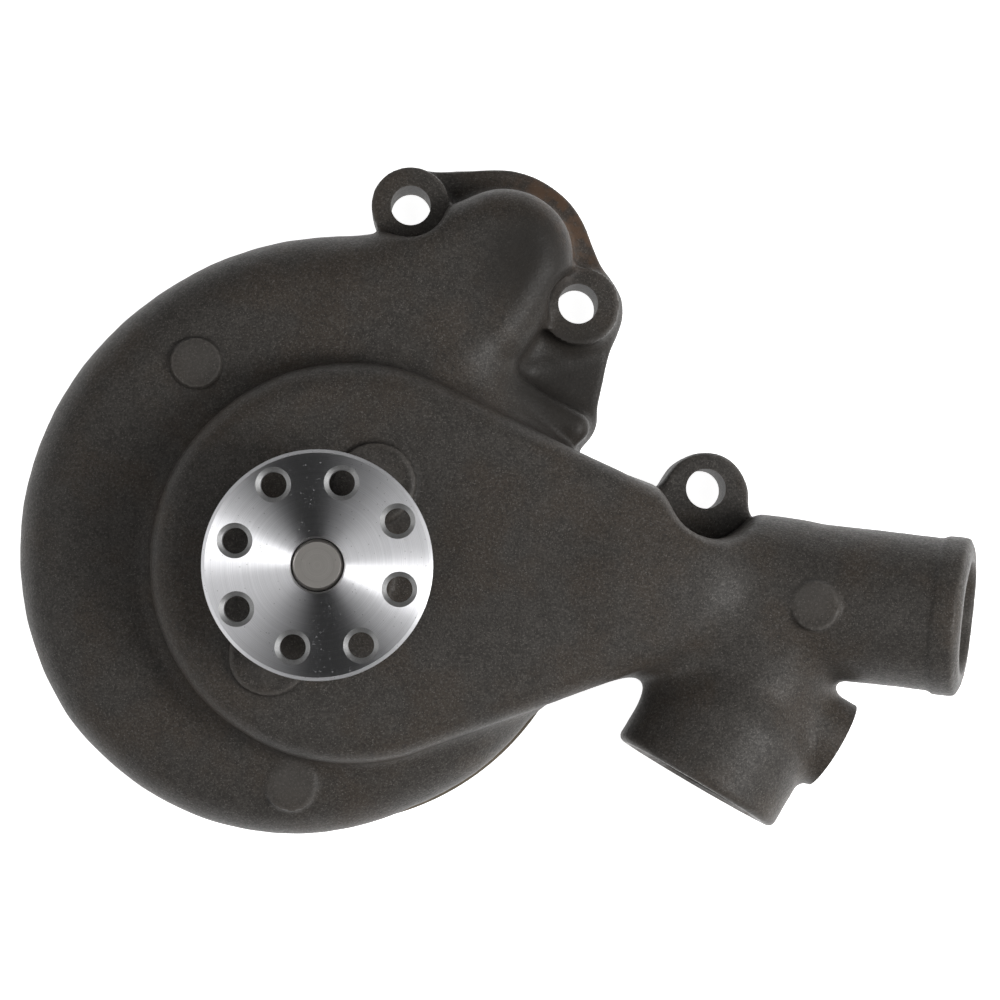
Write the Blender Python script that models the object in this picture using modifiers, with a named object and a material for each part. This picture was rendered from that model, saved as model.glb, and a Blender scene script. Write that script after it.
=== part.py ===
"""Engine water pump with a cast scroll housing, as separate named pieces.

Metres, +Z up. The pump lies on its back: the shaft axis is +Z, towards the pulley, and the origin is
on that axis in the rear mounting plane. +X points roughly towards the hose nipple.
"""

import math

import bmesh
import bpy
from mathutils import Matrix, Vector

MM = 0.001
GAP = 0.3 * MM  # running or seating gap between neighbouring pieces
MERGE = 0.00001
HOUSING_FACES = 5600
CAGE_FACES = 560

# Scroll
SCROLL_START = -35.0  # degrees, where the spiral is smallest; it grows clockwise from there
SCROLL_R = 84.5 * MM
SCROLL_FLAT_SWEEP = 35.0  # degrees of sweep before the spiral starts to grow
SCROLL_TURN_SWEEP = 115.0  # where it starts to grow more slowly
SCROLL_FAST_GROWTH = 0.165 * MM  # per degree
SCROLL_SLOW_GROWTH = 0.085 * MM
SCROLL_LAST_SWEEP = 245.0
SCROLL_BACK_SWEEP = 292.0  # the outline is back at its smallest radius here
SCROLL_FRONT = 35.5 * MM
SCROLL_SECTION = (  # how far inside the outer radius, and z, from front to back in mm
    (21.0, 35.5),
    (15.0, 34.6),
    (9.5, 32.3),
    (5.0, 28.8),
    (1.8, 23.6),
    (0.0, 16.0),
    (0.8, 10.0),
    (1.6, 6.4),
    (2.2, 4.0),
)
VOLUTE_SECTION = ((14.0, 31.0), (6.5, 28.6), (1.6, 24.2), (0.0, 20.0), (1.8, 16.2), (6.0, 13.5))
WALL = 5.0 * MM
VOLUTE_FLOOR = 13.5 * MM
VOLUTE_ROOF = 31.0 * MM
VOLUTE_TONGUE_R = 72.0 * MM

# Rear cover
COVER_R = 86.3 * MM
COVER_THICK = 3.5 * MM
GASKET_THICK = 0.8 * MM
COVER_SEAT_Z = COVER_THICK + GASKET_THICK + 2 * GAP
COVER_OPENING_R = 74.0 * MM
SCREW_COUNT = 8
SCREW_CIRCLE_R = 78.6 * MM
SCREW_HEAD_R = 5.2 * MM
SCREW_SHANK_R = 2.4 * MM
SCREW_HEAD_Z = 2.9 * MM
SCREW_TIP_Z = 11.4 * MM

# Suction chamber, arm and ports
CHAMBER_AT = (9.3 * MM, 0.9 * MM)
CHAMBER_R = 64.8 * MM
CHAMBER_FRONT = 57.0 * MM
DIVIDER_BACK = 27.5 * MM
DIVIDER_FRONT = 31.5 * MM
EYE_R = 37.0 * MM
ARM_AT = Vector((103.0, -4.0, 29.8)) * MM
ARM_HALF_WIDTH = 28.5 * MM
ARM_HALF_HEIGHT = 26.2 * MM
NIPPLE_ROOT = Vector((150.0, -10.0, 30.0)) * MM
NIPPLE_PLAN_ANGLE = -6.8
NIPPLE_LIFT = 17.5
NIPPLE_LENGTH = 60.0 * MM
NIPPLE_R = 24.6 * MM
NIPPLE_LIP_R = 25.1 * MM
NIPPLE_LIP_LENGTH = 9.5 * MM
NIPPLE_BORE_R = 17.6 * MM
NIPPLE_RIM = 2.6 * MM  # rounding of the nipple's outer end
NIPPLE_THROAT = (19.0 * MM, 20.0 * MM)  # half width and half height of the way in behind the nipple's bore
ARM_BEND = (18.0 * MM, 20.0 * MM)
PORT_FACE = Vector((120.7, -70.9, 30.2)) * MM
PORT_PLAN_ANGLE = -120.7
PORT_LIFT = 2.5
PORT_R = 29.0 * MM
PORT_BORE_R = 24.0 * MM
PORT_BORE_DEEP = 34.0 * MM
PORT_THROAT_R = 18.0 * MM
PORT_THROAT_DEEP = 60.0 * MM
SMALL_PORT_FACE = Vector((166.2, -58.5, 29.0)) * MM
SMALL_PORT_PLAN_ANGLE = -31.0
SMALL_PORT_R = 14.9 * MM
SMALL_PORT_BORE_R = 9.0 * MM
SMALL_PORT_BORE_DEEP = 32.0 * MM

# Discharge and bolt ears
DUCT_DISCS = ((20.0, 76.0, 31.5), (59.2, 101.9, 22.8), (48.0, 85.0, 23.0))  # x, y, radius in mm
DUCT_FRONT = 35.0 * MM
DUCT_WALL = 7.5 * MM
FLANGE_DISCS = ((57.0, 100.5, 32.9), (36.0, 117.8, 14.6), (84.4, 86.2, 12.4))
WEB_DISCS = ((50.0, 60.0, 8.0), (86.4, 85.0, 11.4), (84.5, 50.5, 5.8), (72.0, 40.0, 6.0))
WEB_THICK = 9.0 * MM
RIDGE_ENDS = ((58.0, 58.0), (82.0, 45.8))
RIDGE_LEVELS = ((5.6, 0.5), (5.0, 24.0), (3.0, 28.0))  # half width and z in mm
OUTLET_AT = (59.2 * MM, 101.9 * MM)
OUTLET_R = 17.8 * MM
FLANGE_THICK = 10.0 * MM
EAR_THICK = 20.5 * MM
EAR_HOLE_R = 6.6 * MM
EARS = ((28.2, 119.3, 13.1), (84.4, 86.2, 13.1), (126.1, 23.4, 14.5))  # x, y, radius in mm
EAR_HOLES = ((28.2, 119.3), (83.7, 86.9), (126.1, 25.6))
SPOT_FACE_R = (11.6, 10.6, 14.7)  # mm, of the cut that clears each bolt head
PADS = (  # x, y, radius and top in mm
    (-40.9, 65.4, 8.4, 37.0),
    (-10.1, -70.8, 8.4, 35.9),
    (17.3, 25.9, 12.8, 58.4),
    (-15.9, -28.2, 12.8, 58.4),
)
NIPPLE_PAD = (14.5 * MM, -2.0 * MM, 7.8 * MM, 1.4 * MM)  # along and across from the root, radius, height

# Shaft, bearing and hub
SHAFT_R = 7.96 * MM
SHAFT_BACK = 5.6 * MM
SHAFT_FRONT = 80.0 * MM
BALL_R = 3.175 * MM
BALL_CIRCLE_R = 9.9 * MM
BALL_COUNT = 7
BALL_ROWS = (("rear", 41.0 * MM), ("front", 57.0 * MM))
BEARING_R = 15.0 * MM
BEARING_INNER_R = 12.2 * MM
BEARING_BACK = 31.5 * MM
BEARING_FRONT = 66.5 * MM
NOSE_R = 21.5 * MM
NOSE_FRONT = 66.8 * MM
TUBE_R = 22.5 * MM
TUBE_BACK = 19.0 * MM
SEAL_BORE_R = 18.3 * MM
HUB_R = 35.4 * MM
HUB_BACK = 74.0 * MM
HUB_FRONT = 80.5 * MM
HUB_HOLE_R = 4.0 * MM
HUB_SINK_R = 5.45 * MM
HUB_CIRCLES = ((27.95 * MM, 28.7), (26.2 * MM, -16.5))  # circle radius and first angle

# Impeller
IMPELLER_R = 58.0 * MM
IMPELLER_BACK = 6.5 * MM
IMPELLER_PLATE = 3.0 * MM
VANE_FRONT = 26.0 * MM
VANE_COUNT = 6
IMPELLER_BOSS_R = 19.0 * MM
IMPELLER_BOSS_FRONT = 14.0 * MM


# ---------------------------------------------------------------- scene and small helpers

for old in list(bpy.data.objects):
    bpy.data.objects.remove(old, do_unlink=True)

PARTS = bpy.data.collections.new("water_pump")
bpy.context.scene.collection.children.link(PARTS)


def material(name, colour, roughness, metallic):
    """A Principled material."""
    made = bpy.data.materials.new(name)
    made.use_nodes = True
    shader = made.node_tree.nodes["Principled BSDF"]
    shader.inputs["Base Color"].default_value = (*colour, 1.0)
    shader.inputs["Roughness"].default_value = roughness
    shader.inputs["Metallic"].default_value = metallic
    made.diffuse_color = (*colour, 1.0)
    return made


CAST_IRON = material("cast_iron", (0.055, 0.050, 0.043), 0.72, 0.35)
TURNED_STEEL = material("turned_steel", (0.62, 0.63, 0.65), 0.26, 1.0)
GROUND_STEEL = material("ground_steel", (0.42, 0.42, 0.43), 0.22, 1.0)
BEARING_STEEL = material("bearing_steel", (0.55, 0.55, 0.56), 0.16, 1.0)
CAGE_PLASTIC = material("cage_plastic", (0.35, 0.27, 0.13), 0.5, 0.0)
SEAL_RUBBER = material("seal_rubber", (0.02, 0.02, 0.02), 0.7, 0.0)
SEAL_BRASS = material("seal_brass", (0.62, 0.44, 0.17), 0.34, 1.0)
SPRING_STEEL = material("spring_steel", (0.5, 0.5, 0.5), 0.3, 1.0)
CARBON = material("carbon", (0.03, 0.03, 0.033), 0.5, 0.1)
CERAMIC = material("ceramic", (0.82, 0.8, 0.75), 0.3, 0.0)
GASKET_PAPER = material("gasket_paper", (0.09, 0.085, 0.075), 0.85, 0.0)
COVER_STEEL = material("cover_steel", (0.10, 0.095, 0.09), 0.5, 0.7)
SCREW_ZINC = material("screw_zinc", (0.5, 0.5, 0.48), 0.35, 1.0)


def link(obj, colour=None):
    """Puts an object in the pump's collection, with its material."""
    PARTS.objects.link(obj)
    if colour:
        obj.data.materials.append(colour)
    return obj


def mesh_from(bm, name, colour=None):
    """An object from a bmesh, with its faces turned outward."""
    bmesh.ops.recalc_face_normals(bm, faces=bm.faces)
    bmesh.ops.triangulate(bm, faces=bm.faces)
    mesh = bpy.data.meshes.new(name)
    bm.to_mesh(mesh)
    bm.free()
    return link(bpy.data.objects.new(name, mesh), colour)


def settle(obj):
    """Replaces an object by its evaluated mesh, so that it has no modifiers left."""
    evaluated = obj.evaluated_get(bpy.context.evaluated_depsgraph_get())
    mesh = bpy.data.meshes.new_from_object(evaluated)
    if obj.type == "MESH":
        obj.modifiers.clear()
        obj.data = mesh
        return obj
    bm = bmesh.new()
    bm.from_mesh(mesh)
    bmesh.ops.remove_doubles(bm, verts=bm.verts, dist=MERGE)
    bm.to_mesh(mesh)
    bm.free()
    made = bpy.data.objects.new(obj.name + "_mesh", mesh)
    made.matrix_world = obj.matrix_world
    bpy.data.objects.remove(obj, do_unlink=True)
    return link(made)


def is_closed(mesh):
    """True if every edge has exactly two faces."""
    bm = bmesh.new()
    bm.from_mesh(mesh)
    closed = all(len(edge.link_faces) == 2 for edge in bm.edges)
    bm.free()
    return closed


def combine(target, tools, operation):
    """Joins the tools to the target, or cuts them from it, one after another."""
    for tool in tools:
        before = target.data
        for solver in ("EXACT", "MANIFOLD"):
            target.data = before
            boolean = target.modifiers.new(operation.lower(), "BOOLEAN")
            boolean.operation = operation
            boolean.solver = solver
            boolean.object = tool
            settle(target)
            if is_closed(target.data):
                break
        bpy.data.objects.remove(tool, do_unlink=True)
    return target


def clean_flats(obj):
    """Dissolves the edges that cuts leave across flat faces."""
    bm = bmesh.new()
    bm.from_mesh(obj.data)
    bmesh.ops.dissolve_limit(bm, angle_limit=math.radians(0.05), verts=bm.verts, edges=bm.edges)
    bmesh.ops.triangulate(bm, faces=bm.faces)
    bm.to_mesh(obj.data)
    bm.free()
    return obj


def lighten(body, target_faces):
    """Merges the slivers that many joins and cuts leave on nearly flat ground."""
    faces = sum(len(face.vertices) - 2 for face in body.data.polygons)
    thin = body.modifiers.new("lighten", "DECIMATE")
    thin.ratio = target_faces / faces
    thin.use_collapse_triangulate = True
    return settle(body)


def join(target, *tools):
    return combine(target, tools, "UNION")


def cut(target, *tools):
    return combine(target, tools, "DIFFERENCE")


def turned(name, profile, steps=48, colour=None, at=(0.0, 0.0)):
    """A solid of revolution about +Z, from (radius, z) points in order round the section."""
    middle_r = sum(point[0] for point in profile) / len(profile)
    middle_z = sum(point[1] for point in profile) / len(profile)
    area = 0.0
    for (r0, z0), (r1, z1) in zip(profile, profile[1:] + profile[:1]):
        area += (r0 - middle_r) * (z1 - middle_z) - (r1 - middle_r) * (z0 - middle_z)
    points = profile if area < 0 else profile[::-1]
    bm = bmesh.new()
    verts = [bm.verts.new((radius, 0.0, z)) for radius, z in points]
    for first, second in zip(verts, verts[1:] + verts[:1]):
        if first.co.x > 1e-7 or second.co.x > 1e-7:
            bm.edges.new((first, second))
    mesh = bpy.data.meshes.new(name)
    bm.to_mesh(mesh)
    bm.free()
    obj = link(bpy.data.objects.new(name, mesh), colour)
    screw = obj.modifiers.new("turn", "SCREW")
    screw.steps = steps
    screw.render_steps = steps
    screw.use_merge_vertices = True
    screw.merge_threshold = MERGE
    settle(obj)
    obj.data.transform(Matrix.Translation((at[0], at[1], 0.0)))
    return finish_outward(obj)


def finish_outward(obj):
    """Turns a closed mesh's faces outward."""
    bm = bmesh.new()
    bm.from_mesh(obj.data)
    bmesh.ops.remove_doubles(bm, verts=bm.verts, dist=1e-7)
    bmesh.ops.recalc_face_normals(bm, faces=bm.faces)
    bmesh.ops.triangulate(bm, faces=bm.faces)
    bm.to_mesh(obj.data)
    bm.free()
    return obj


def ring(inner, outer, back, front, name, colour, steps=48, bevel=0.0):
    """A plain turned ring, with its outer corners cut back by bevel."""
    profile = [(inner, back), (outer - bevel, back), (outer, back + bevel), (outer, front - bevel)]
    profile += [(outer - bevel, front), (inner, front)]
    unique = [point for i, point in enumerate(profile) if point != profile[i - 1]]
    return turned(name, unique, steps, colour)


def rod(at, direction, radius, back, front, steps=40, front_radius=None, name="rod"):
    """A cylinder or cone along a direction, from back to front as measured from a point."""
    bm = bmesh.new()
    bmesh.ops.create_cone(
        bm,
        cap_ends=True,
        segments=steps,
        radius1=radius,
        radius2=radius if front_radius is None else front_radius,
        depth=front - back,
    )
    aim = Vector(direction).normalized()
    turn = aim.to_track_quat("Z", "Y").to_matrix().to_4x4()
    middle = Vector(at) + aim * (back + front) / 2
    bmesh.ops.transform(bm, matrix=Matrix.Translation(middle) @ turn, verts=bm.verts)
    return mesh_from(bm, name)


def circle(at, radius, z, steps=40):
    """Points of a level circle."""
    turns = [2 * math.pi * i / steps for i in range(steps)]
    return [Vector((at[0] + radius * math.cos(t), at[1] + radius * math.sin(t), z)) for t in turns]


def facing_circle(at, direction, half_width, half_height, steps=32):
    """Points of an upright ellipse that faces along a direction."""
    aim = Vector(direction).normalized()
    side = aim.cross(Vector((0.0, 0.0, 1.0))).normalized()
    up = side.cross(aim).normalized()
    points = []
    for i in range(steps):
        t = 2 * math.pi * i / steps
        points.append(Vector(at) + side * half_width * math.cos(t) + up * half_height * math.sin(t))
    return points


def hull(name, points):
    """The convex solid round some points."""
    bm = bmesh.new()
    for point in points:
        bm.verts.new(point)
    result = bmesh.ops.convex_hull(bm, input=bm.verts, use_existing_faces=False)
    spare = [item for item in result["geom_interior"] if isinstance(item, bmesh.types.BMVert)]
    bmesh.ops.delete(bm, geom=spare, context="VERTS")
    loose = [vert for vert in bm.verts if not vert.link_faces]
    bmesh.ops.delete(bm, geom=loose, context="VERTS")
    return mesh_from(bm, name)


def direction(plan_angle, lift):
    """A unit vector from its angle in plan and its rise, in degrees."""
    plan = math.radians(plan_angle)
    rise = math.radians(lift)
    level = math.cos(rise)
    return Vector((level * math.cos(plan), level * math.sin(plan), math.sin(rise)))


def round_about(radius, first_angle, count):
    """Evenly spaced (x, y) places on a circle about the shaft axis."""
    turns = [math.radians(first_angle + 360.0 * i / count) for i in range(count)]
    return [(radius * math.cos(t), radius * math.sin(t)) for t in turns]


# ---------------------------------------------------------------- housing


def grown_radius(sweep):
    """The scroll's outer radius after a sweep in degrees: it grows fast at first, then more slowly."""
    fast = min(max(sweep - SCROLL_FLAT_SWEEP, 0.0), SCROLL_TURN_SWEEP - SCROLL_FLAT_SWEEP)
    slow = max(sweep - SCROLL_TURN_SWEEP, 0.0)
    return SCROLL_R + SCROLL_FAST_GROWTH * fast + SCROLL_SLOW_GROWTH * slow


def scroll_radius(angle, base=SCROLL_R, inset=0.0):
    """The spiral's radius at an angle in degrees: from base it grows clockwise, then drops back."""
    sweep = (SCROLL_START - angle) % 360.0
    if sweep < SCROLL_FLAT_SWEEP:
        return base + (SCROLL_R - inset - base) * sweep / SCROLL_FLAT_SWEEP
    if sweep < SCROLL_LAST_SWEEP:
        return grown_radius(sweep) - inset
    if sweep < SCROLL_BACK_SWEEP:
        last = grown_radius(SCROLL_LAST_SWEEP) - inset
        share = (sweep - SCROLL_LAST_SWEEP) / (SCROLL_BACK_SWEEP - SCROLL_LAST_SWEEP)
        return last + (base - last) * share * share * (3.0 - 2.0 * share)
    return base


def spiral_solid(name, profile, radius_at, steps=60):
    """A closed solid whose section's outer end follows radius_at(angle); profile is (inset, z)."""
    bm = bmesh.new()
    rings = []
    for inset, z in profile:
        row = []
        for i in range(steps):
            angle = 360.0 * i / steps
            radius = radius_at(angle) - inset * MM
            turn = math.radians(angle)
            row.append(bm.verts.new((radius * math.cos(turn), radius * math.sin(turn), z * MM)))
        rings.append(row)
    for upper, lower in zip(rings, rings[1:]):
        for i in range(steps):
            j = (i + 1) % steps
            bm.faces.new((upper[i], upper[j], lower[j], lower[i]))
    bm.faces.new(rings[0])
    bm.faces.new(rings[-1][::-1])
    return mesh_from(bm, name)


def volute_radius(angle):
    return scroll_radius(angle, VOLUTE_TONGUE_R, WALL)


def chamber_rings(inset, levels):
    """Circles of the suction chamber: levels are (extra inset, z)."""
    points = []
    for extra, z in levels:
        points += circle(CHAMBER_AT, CHAMBER_R - inset - extra, z, 44)
    return points


def arm_section(direct, back=0.0):
    """The arm's section where it leaves the chamber, or one that far behind it and a little smaller."""
    inset = 0.05 * back
    at = ARM_AT - direct * back
    return facing_circle(at, direct, ARM_HALF_WIDTH - inset, ARM_HALF_HEIGHT - inset, 28)


def suction_shell():
    """The raised chamber, the arm and the hose nipple, as one outer form."""
    aim = direction(NIPPLE_PLAN_ANGLE, NIPPLE_LIFT)
    level = direction(NIPPLE_PLAN_ANGLE, 0.0)
    levels = (
        (0.0, 24.0 * MM),
        (0.0, 38.0 * MM),
        (1.0 * MM, 45.0 * MM),
        (3.0 * MM, 50.0 * MM),
        (6.5 * MM, 53.4 * MM),
        (12.0 * MM, 55.4 * MM),
        (26.0 * MM, CHAMBER_FRONT - 0.3 * MM),
        (40.0 * MM, CHAMBER_FRONT),
    )
    shell = hull("suction", chamber_rings(0.0, levels) + arm_section(level))
    root = facing_circle(NIPPLE_ROOT, aim, NIPPLE_R + 0.5 * MM, NIPPLE_R + 0.5 * MM, 28)
    arm = hull("arm", arm_section(level, 3.0 * MM) + root)
    nipple = rod(NIPPLE_ROOT, aim, NIPPLE_R + 0.6 * MM, -1.0 * MM, NIPPLE_LENGTH - NIPPLE_RIM, 48, NIPPLE_R)
    lip_levels = (
        (0.0, NIPPLE_LENGTH - NIPPLE_LIP_LENGTH),
        (0.0, NIPPLE_LENGTH - NIPPLE_RIM),
        (0.3 * NIPPLE_RIM, NIPPLE_LENGTH - 0.3 * NIPPLE_RIM),
        (NIPPLE_RIM, NIPPLE_LENGTH),
    )
    lip_points = []
    for inset, along in lip_levels:
        radius = NIPPLE_LIP_R - inset
        lip_points += facing_circle(NIPPLE_ROOT + aim * along, aim, radius, radius, 48)
    return join(shell, arm, nipple, hull("lip", lip_points))


def port_shell():
    """The large round port with its collar and neck, and the small port beside it."""
    aim = direction(PORT_PLAN_ANGLE, PORT_LIFT)
    points = facing_circle(PORT_FACE, aim, PORT_R, PORT_R, 40)
    points += facing_circle(PORT_FACE - aim * 22.0 * MM, aim, PORT_R, PORT_R, 40)
    points += facing_circle(PORT_FACE - aim * 38.0 * MM, aim, PORT_R - 5 * MM, PORT_R - 6 * MM, 40)
    collar = hull("collar", points)
    neck = rod(PORT_FACE, aim, PORT_R - 6.0 * MM, -64.0 * MM, -30.0 * MM, 40)
    side = direction(SMALL_PORT_PLAN_ANGLE, 0.0)
    boss = rod(SMALL_PORT_FACE, side, SMALL_PORT_R + 0.5 * MM, -36.0 * MM, 0.0, 32, SMALL_PORT_R)
    return join(collar, neck, boss)


def duct_points(inset, levels):
    points = []
    for x, y, radius in DUCT_DISCS:
        for extra, z in levels:
            points += circle((x * MM, y * MM), radius * MM - inset - extra, z, 28)
    return points


def disc_plate(name, discs, thick):
    """A flat plate on z = 0 whose outline wraps some discs, (x, y, radius) in mm."""
    points = []
    for x, y, radius in discs:
        points += circle((x * MM, y * MM), radius * MM, 0.0) + circle((x * MM, y * MM), radius * MM, thick)
    return hull(name, points)


def discharge_shell():
    """The scroll's rounded end, its flange, the web to the arm and the ridge beside the arm."""
    levels = (
        (0.0, 0.0),
        (0.0, 22.0 * MM),
        (1.8 * MM, 27.6 * MM),
        (5.0 * MM, 31.6 * MM),
        (9.5 * MM, 34.0 * MM),
        (15.0 * MM, DUCT_FRONT),
    )
    duct = hull("duct", duct_points(0.0, levels))
    flange = disc_plate("flange", FLANGE_DISCS, FLANGE_THICK)
    web = disc_plate("web", WEB_DISCS, WEB_THICK)
    ridge_points = []
    for x, y in RIDGE_ENDS:
        for radius, z in RIDGE_LEVELS:
            ridge_points += circle((x * MM, y * MM), radius * MM, z * MM, 20)
    ridge = hull("ridge", ridge_points)
    return join(duct, flange, web, ridge)


def add_ears(body):
    for x, y, radius in EARS:
        join(body, rod((x * MM, y * MM, 0.0), (0, 0, 1), radius * MM, 0.0, EAR_THICK, 32))
    return body


def add_pads(body):
    """The flat round cast pads on the scroll, the chamber and the nipple."""
    for x, y, radius, top in PADS:
        at = (x * MM, y * MM, 0.0)
        join(body, rod(at, (0, 0, 1), (radius + 0.4) * MM, (top - 8.0) * MM, top * MM, 32, radius * MM))
    aim = direction(NIPPLE_PLAN_ANGLE + 180.0, 90.0 - NIPPLE_LIFT)
    along, across, radius, height = NIPPLE_PAD
    middle = NIPPLE_ROOT + direction(NIPPLE_PLAN_ANGLE, NIPPLE_LIFT) * along + Vector((0.0, across, 0.0))
    join(body, rod(middle, aim, radius + 0.4 * MM, 14.0 * MM, NIPPLE_R + height, 32, radius))
    return body


def hollow_water_ways(body):
    """Cuts the suction side, the scroll's channel and the discharge."""
    aim = direction(NIPPLE_PLAN_ANGLE, NIPPLE_LIFT)
    level = direction(NIPPLE_PLAN_ANGLE, 0.0)
    levels = ((0.0, DIVIDER_FRONT), (0.0, 42.0 * MM), (4.0 * MM, 49.0 * MM), (12.0 * MM, 52.0 * MM))
    inner_at = ARM_AT + Vector((0.0, -4.0, 0.0)) * MM
    section = facing_circle(inner_at, level, ARM_HALF_WIDTH - 9.0 * MM, ARM_HALF_HEIGHT - 5.2 * MM, 24)
    chamber = hull("chamber_space", chamber_rings(WALL, levels) + section)
    bend_at = NIPPLE_ROOT + Vector((-22.0, -3.0, -1.0)) * MM
    bend = facing_circle(bend_at, level, *ARM_BEND, 24)
    root = facing_circle(NIPPLE_ROOT, aim, *NIPPLE_THROAT, 24)
    mouth = facing_circle(NIPPLE_ROOT + aim * 12.0 * MM, aim, NIPPLE_BORE_R, NIPPLE_BORE_R, 24)
    overlap = level * 2.0 * MM
    arm = hull("arm_space", [point - overlap for point in section] + bend)
    elbow = hull("elbow_space", [point - overlap for point in bend] + root)
    reducer = hull("reducer_space", [point - aim * 2.0 * MM for point in root] + mouth)
    bore = rod(NIPPLE_ROOT, aim, NIPPLE_BORE_R, 10.0 * MM, NIPPLE_LENGTH + 5.0 * MM, 48)
    join(chamber, arm, elbow, reducer, bore)
    tube = rod((0, 0, 0), (0, 0, 1), TUBE_R, TUBE_BACK, 60.0 * MM, 40)
    pillars = [rod((x, y, 0.0), (0, 0, 1), 7.0 * MM, 20.0 * MM, 60.0 * MM, 24) for x, y in WEEP_PLACES]
    cut(chamber, tube, *pillars)
    cut(body, chamber)

    port_aim = direction(PORT_PLAN_ANGLE, PORT_LIFT)
    port_bore = rod(PORT_FACE, port_aim, PORT_BORE_R, -PORT_BORE_DEEP, 2.0 * MM, 40)
    throat = rod(PORT_FACE, port_aim, PORT_THROAT_R, -PORT_THROAT_DEEP, 1.0 * MM - PORT_BORE_DEEP, 32)
    small_aim = direction(SMALL_PORT_PLAN_ANGLE, 0.0)
    small_bore = rod(SMALL_PORT_FACE, small_aim, SMALL_PORT_BORE_R, -SMALL_PORT_BORE_DEEP, 2.0 * MM, 32)
    cut(body, port_bore, throat, small_bore)

    volute = spiral_solid("volute", VOLUTE_SECTION, volute_radius)
    wheel_space = rod((0, 0, 0), (0, 0, 1), COVER_OPENING_R, 0.0, DIVIDER_BACK, 60)
    duct_levels = (
        (1.0 * MM, VOLUTE_FLOOR),
        (0.0, 17.0 * MM),
        (0.0, 22.0 * MM),
        (4.0 * MM, 28.0 * MM),
        (10.0 * MM, VOLUTE_ROOF - 1.0 * MM),
    )
    duct = hull("duct_space", duct_points(DUCT_WALL, duct_levels))
    outlet = rod((*OUTLET_AT, 0.0), (0, 0, 1), OUTLET_R - 0.5 * MM, -2.0 * MM, 20.0 * MM, 40)
    join(volute, duct, outlet)
    seal_wall = rod((0, 0, 0), (0, 0, 1), TUBE_R + GAP, TUBE_BACK, 60.0 * MM, 40)
    join(wheel_space, rod((0, 0, 0), (0, 0, 1), EYE_R, 20.0 * MM, DIVIDER_FRONT + 2.0 * MM, 44))
    cut(wheel_space, seal_wall)
    cut(body, volute)
    cut(body, wheel_space)
    return body


WEEP_PLACES = round_about(27.0 * MM, 56.0, 2)


def machine(body):
    """The turned bores, bolt holes, faces and drillings."""
    cut(body, rod((0, 0, 0), (0, 0, 1), COVER_R + GAP, -3.0 * MM, COVER_SEAT_Z, 72))
    bores = [
        (0.0, TUBE_BACK - 2.0 * MM),
        (SEAL_BORE_R, TUBE_BACK - 2.0 * MM),
        (SEAL_BORE_R, 26.5 * MM),
        (16.4 * MM, 26.5 * MM),
        (16.4 * MM, 31.2 * MM),
        (BEARING_R + GAP, 31.2 * MM),
        (BEARING_R + GAP, NOSE_FRONT + 2.0 * MM),
        (0.0, NOSE_FRONT + 2.0 * MM),
    ]
    cut(body, turned("bores", bores, 40))
    for x, y in WEEP_PLACES:
        front = Vector((x, y, 0.0)) * 1.07 + Vector((0.0, 0.0, 60.0 * MM))
        back = Vector((x, y, 0.0)) * (15.0 / 27.0) + Vector((0.0, 0.0, 28.8 * MM))
        cut(body, rod(back, front - back, 2.2 * MM, 0.0, (front - back).length, 16))
    for x, y in round_about(SCREW_CIRCLE_R, 22.5, SCREW_COUNT):
        cut(body, rod((x, y, 0.0), (0, 0, 1), SCREW_SHANK_R + GAP, 0.0, SCREW_TIP_Z + 0.6 * MM, 12))
    for (x, y, _), (hole_x, hole_y), spot_r in zip(EARS, EAR_HOLES, SPOT_FACE_R):
        cut(body, rod((x * MM, y * MM, 0.0), (0, 0, 1), spot_r * MM, EAR_THICK, 60.0 * MM, 32))
        cut(body, rod((hole_x * MM, hole_y * MM, 0.0), (0, 0, 1), EAR_HOLE_R, -2.0 * MM, 30.0 * MM, 28))
    return body


def pump_housing():
    body = spiral_solid("pump_housing", SCROLL_SECTION, scroll_radius)
    join(body, suction_shell(), port_shell(), discharge_shell())
    nose = rod((0, 0, 0), (0, 0, 1), NOSE_R + 1.0 * MM, 30.0 * MM, NOSE_FRONT, 40, NOSE_R)
    join(body, nose)
    add_ears(body)
    add_pads(body)
    hollow_water_ways(body)
    machine(body)
    lighten(body, HOUSING_FACES)
    body.data.materials.clear()
    body.data.materials.append(CAST_IRON)
    return body


# ---------------------------------------------------------------- rear cover, gasket and screws


def rear_cover():
    cover = ring(0.0, COVER_R, 0.0, COVER_THICK, "rear_cover", COVER_STEEL, 72, 0.5 * MM)
    for x, y in round_about(SCREW_CIRCLE_R, 22.5, SCREW_COUNT):
        at = (x, y, 0.0)
        hole_r = SCREW_SHANK_R + GAP
        sink = rod(at, (0, 0, 1), SCREW_HEAD_R + 2.2 * GAP, -0.1 * MM, SCREW_HEAD_Z, 12, hole_r)
        hole = rod(at, (0, 0, 1), hole_r, -1.0 * MM, 6.0 * MM, 12)
        cut(cover, sink, hole)
    return clean_flats(cover)


def cover_gasket():
    back = COVER_THICK + GAP
    inner = COVER_OPENING_R + 0.4 * MM
    outer = COVER_R - 0.2 * MM
    gasket = ring(inner, outer, back, back + GASKET_THICK, "cover_gasket", GASKET_PAPER, 72)
    for x, y in round_about(SCREW_CIRCLE_R, 22.5, SCREW_COUNT):
        cut(gasket, rod((x, y, 0.0), (0, 0, 1), SCREW_SHANK_R + 1.3 * GAP, 0.0, 8.0 * MM, 12))
    return clean_flats(gasket)


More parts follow.
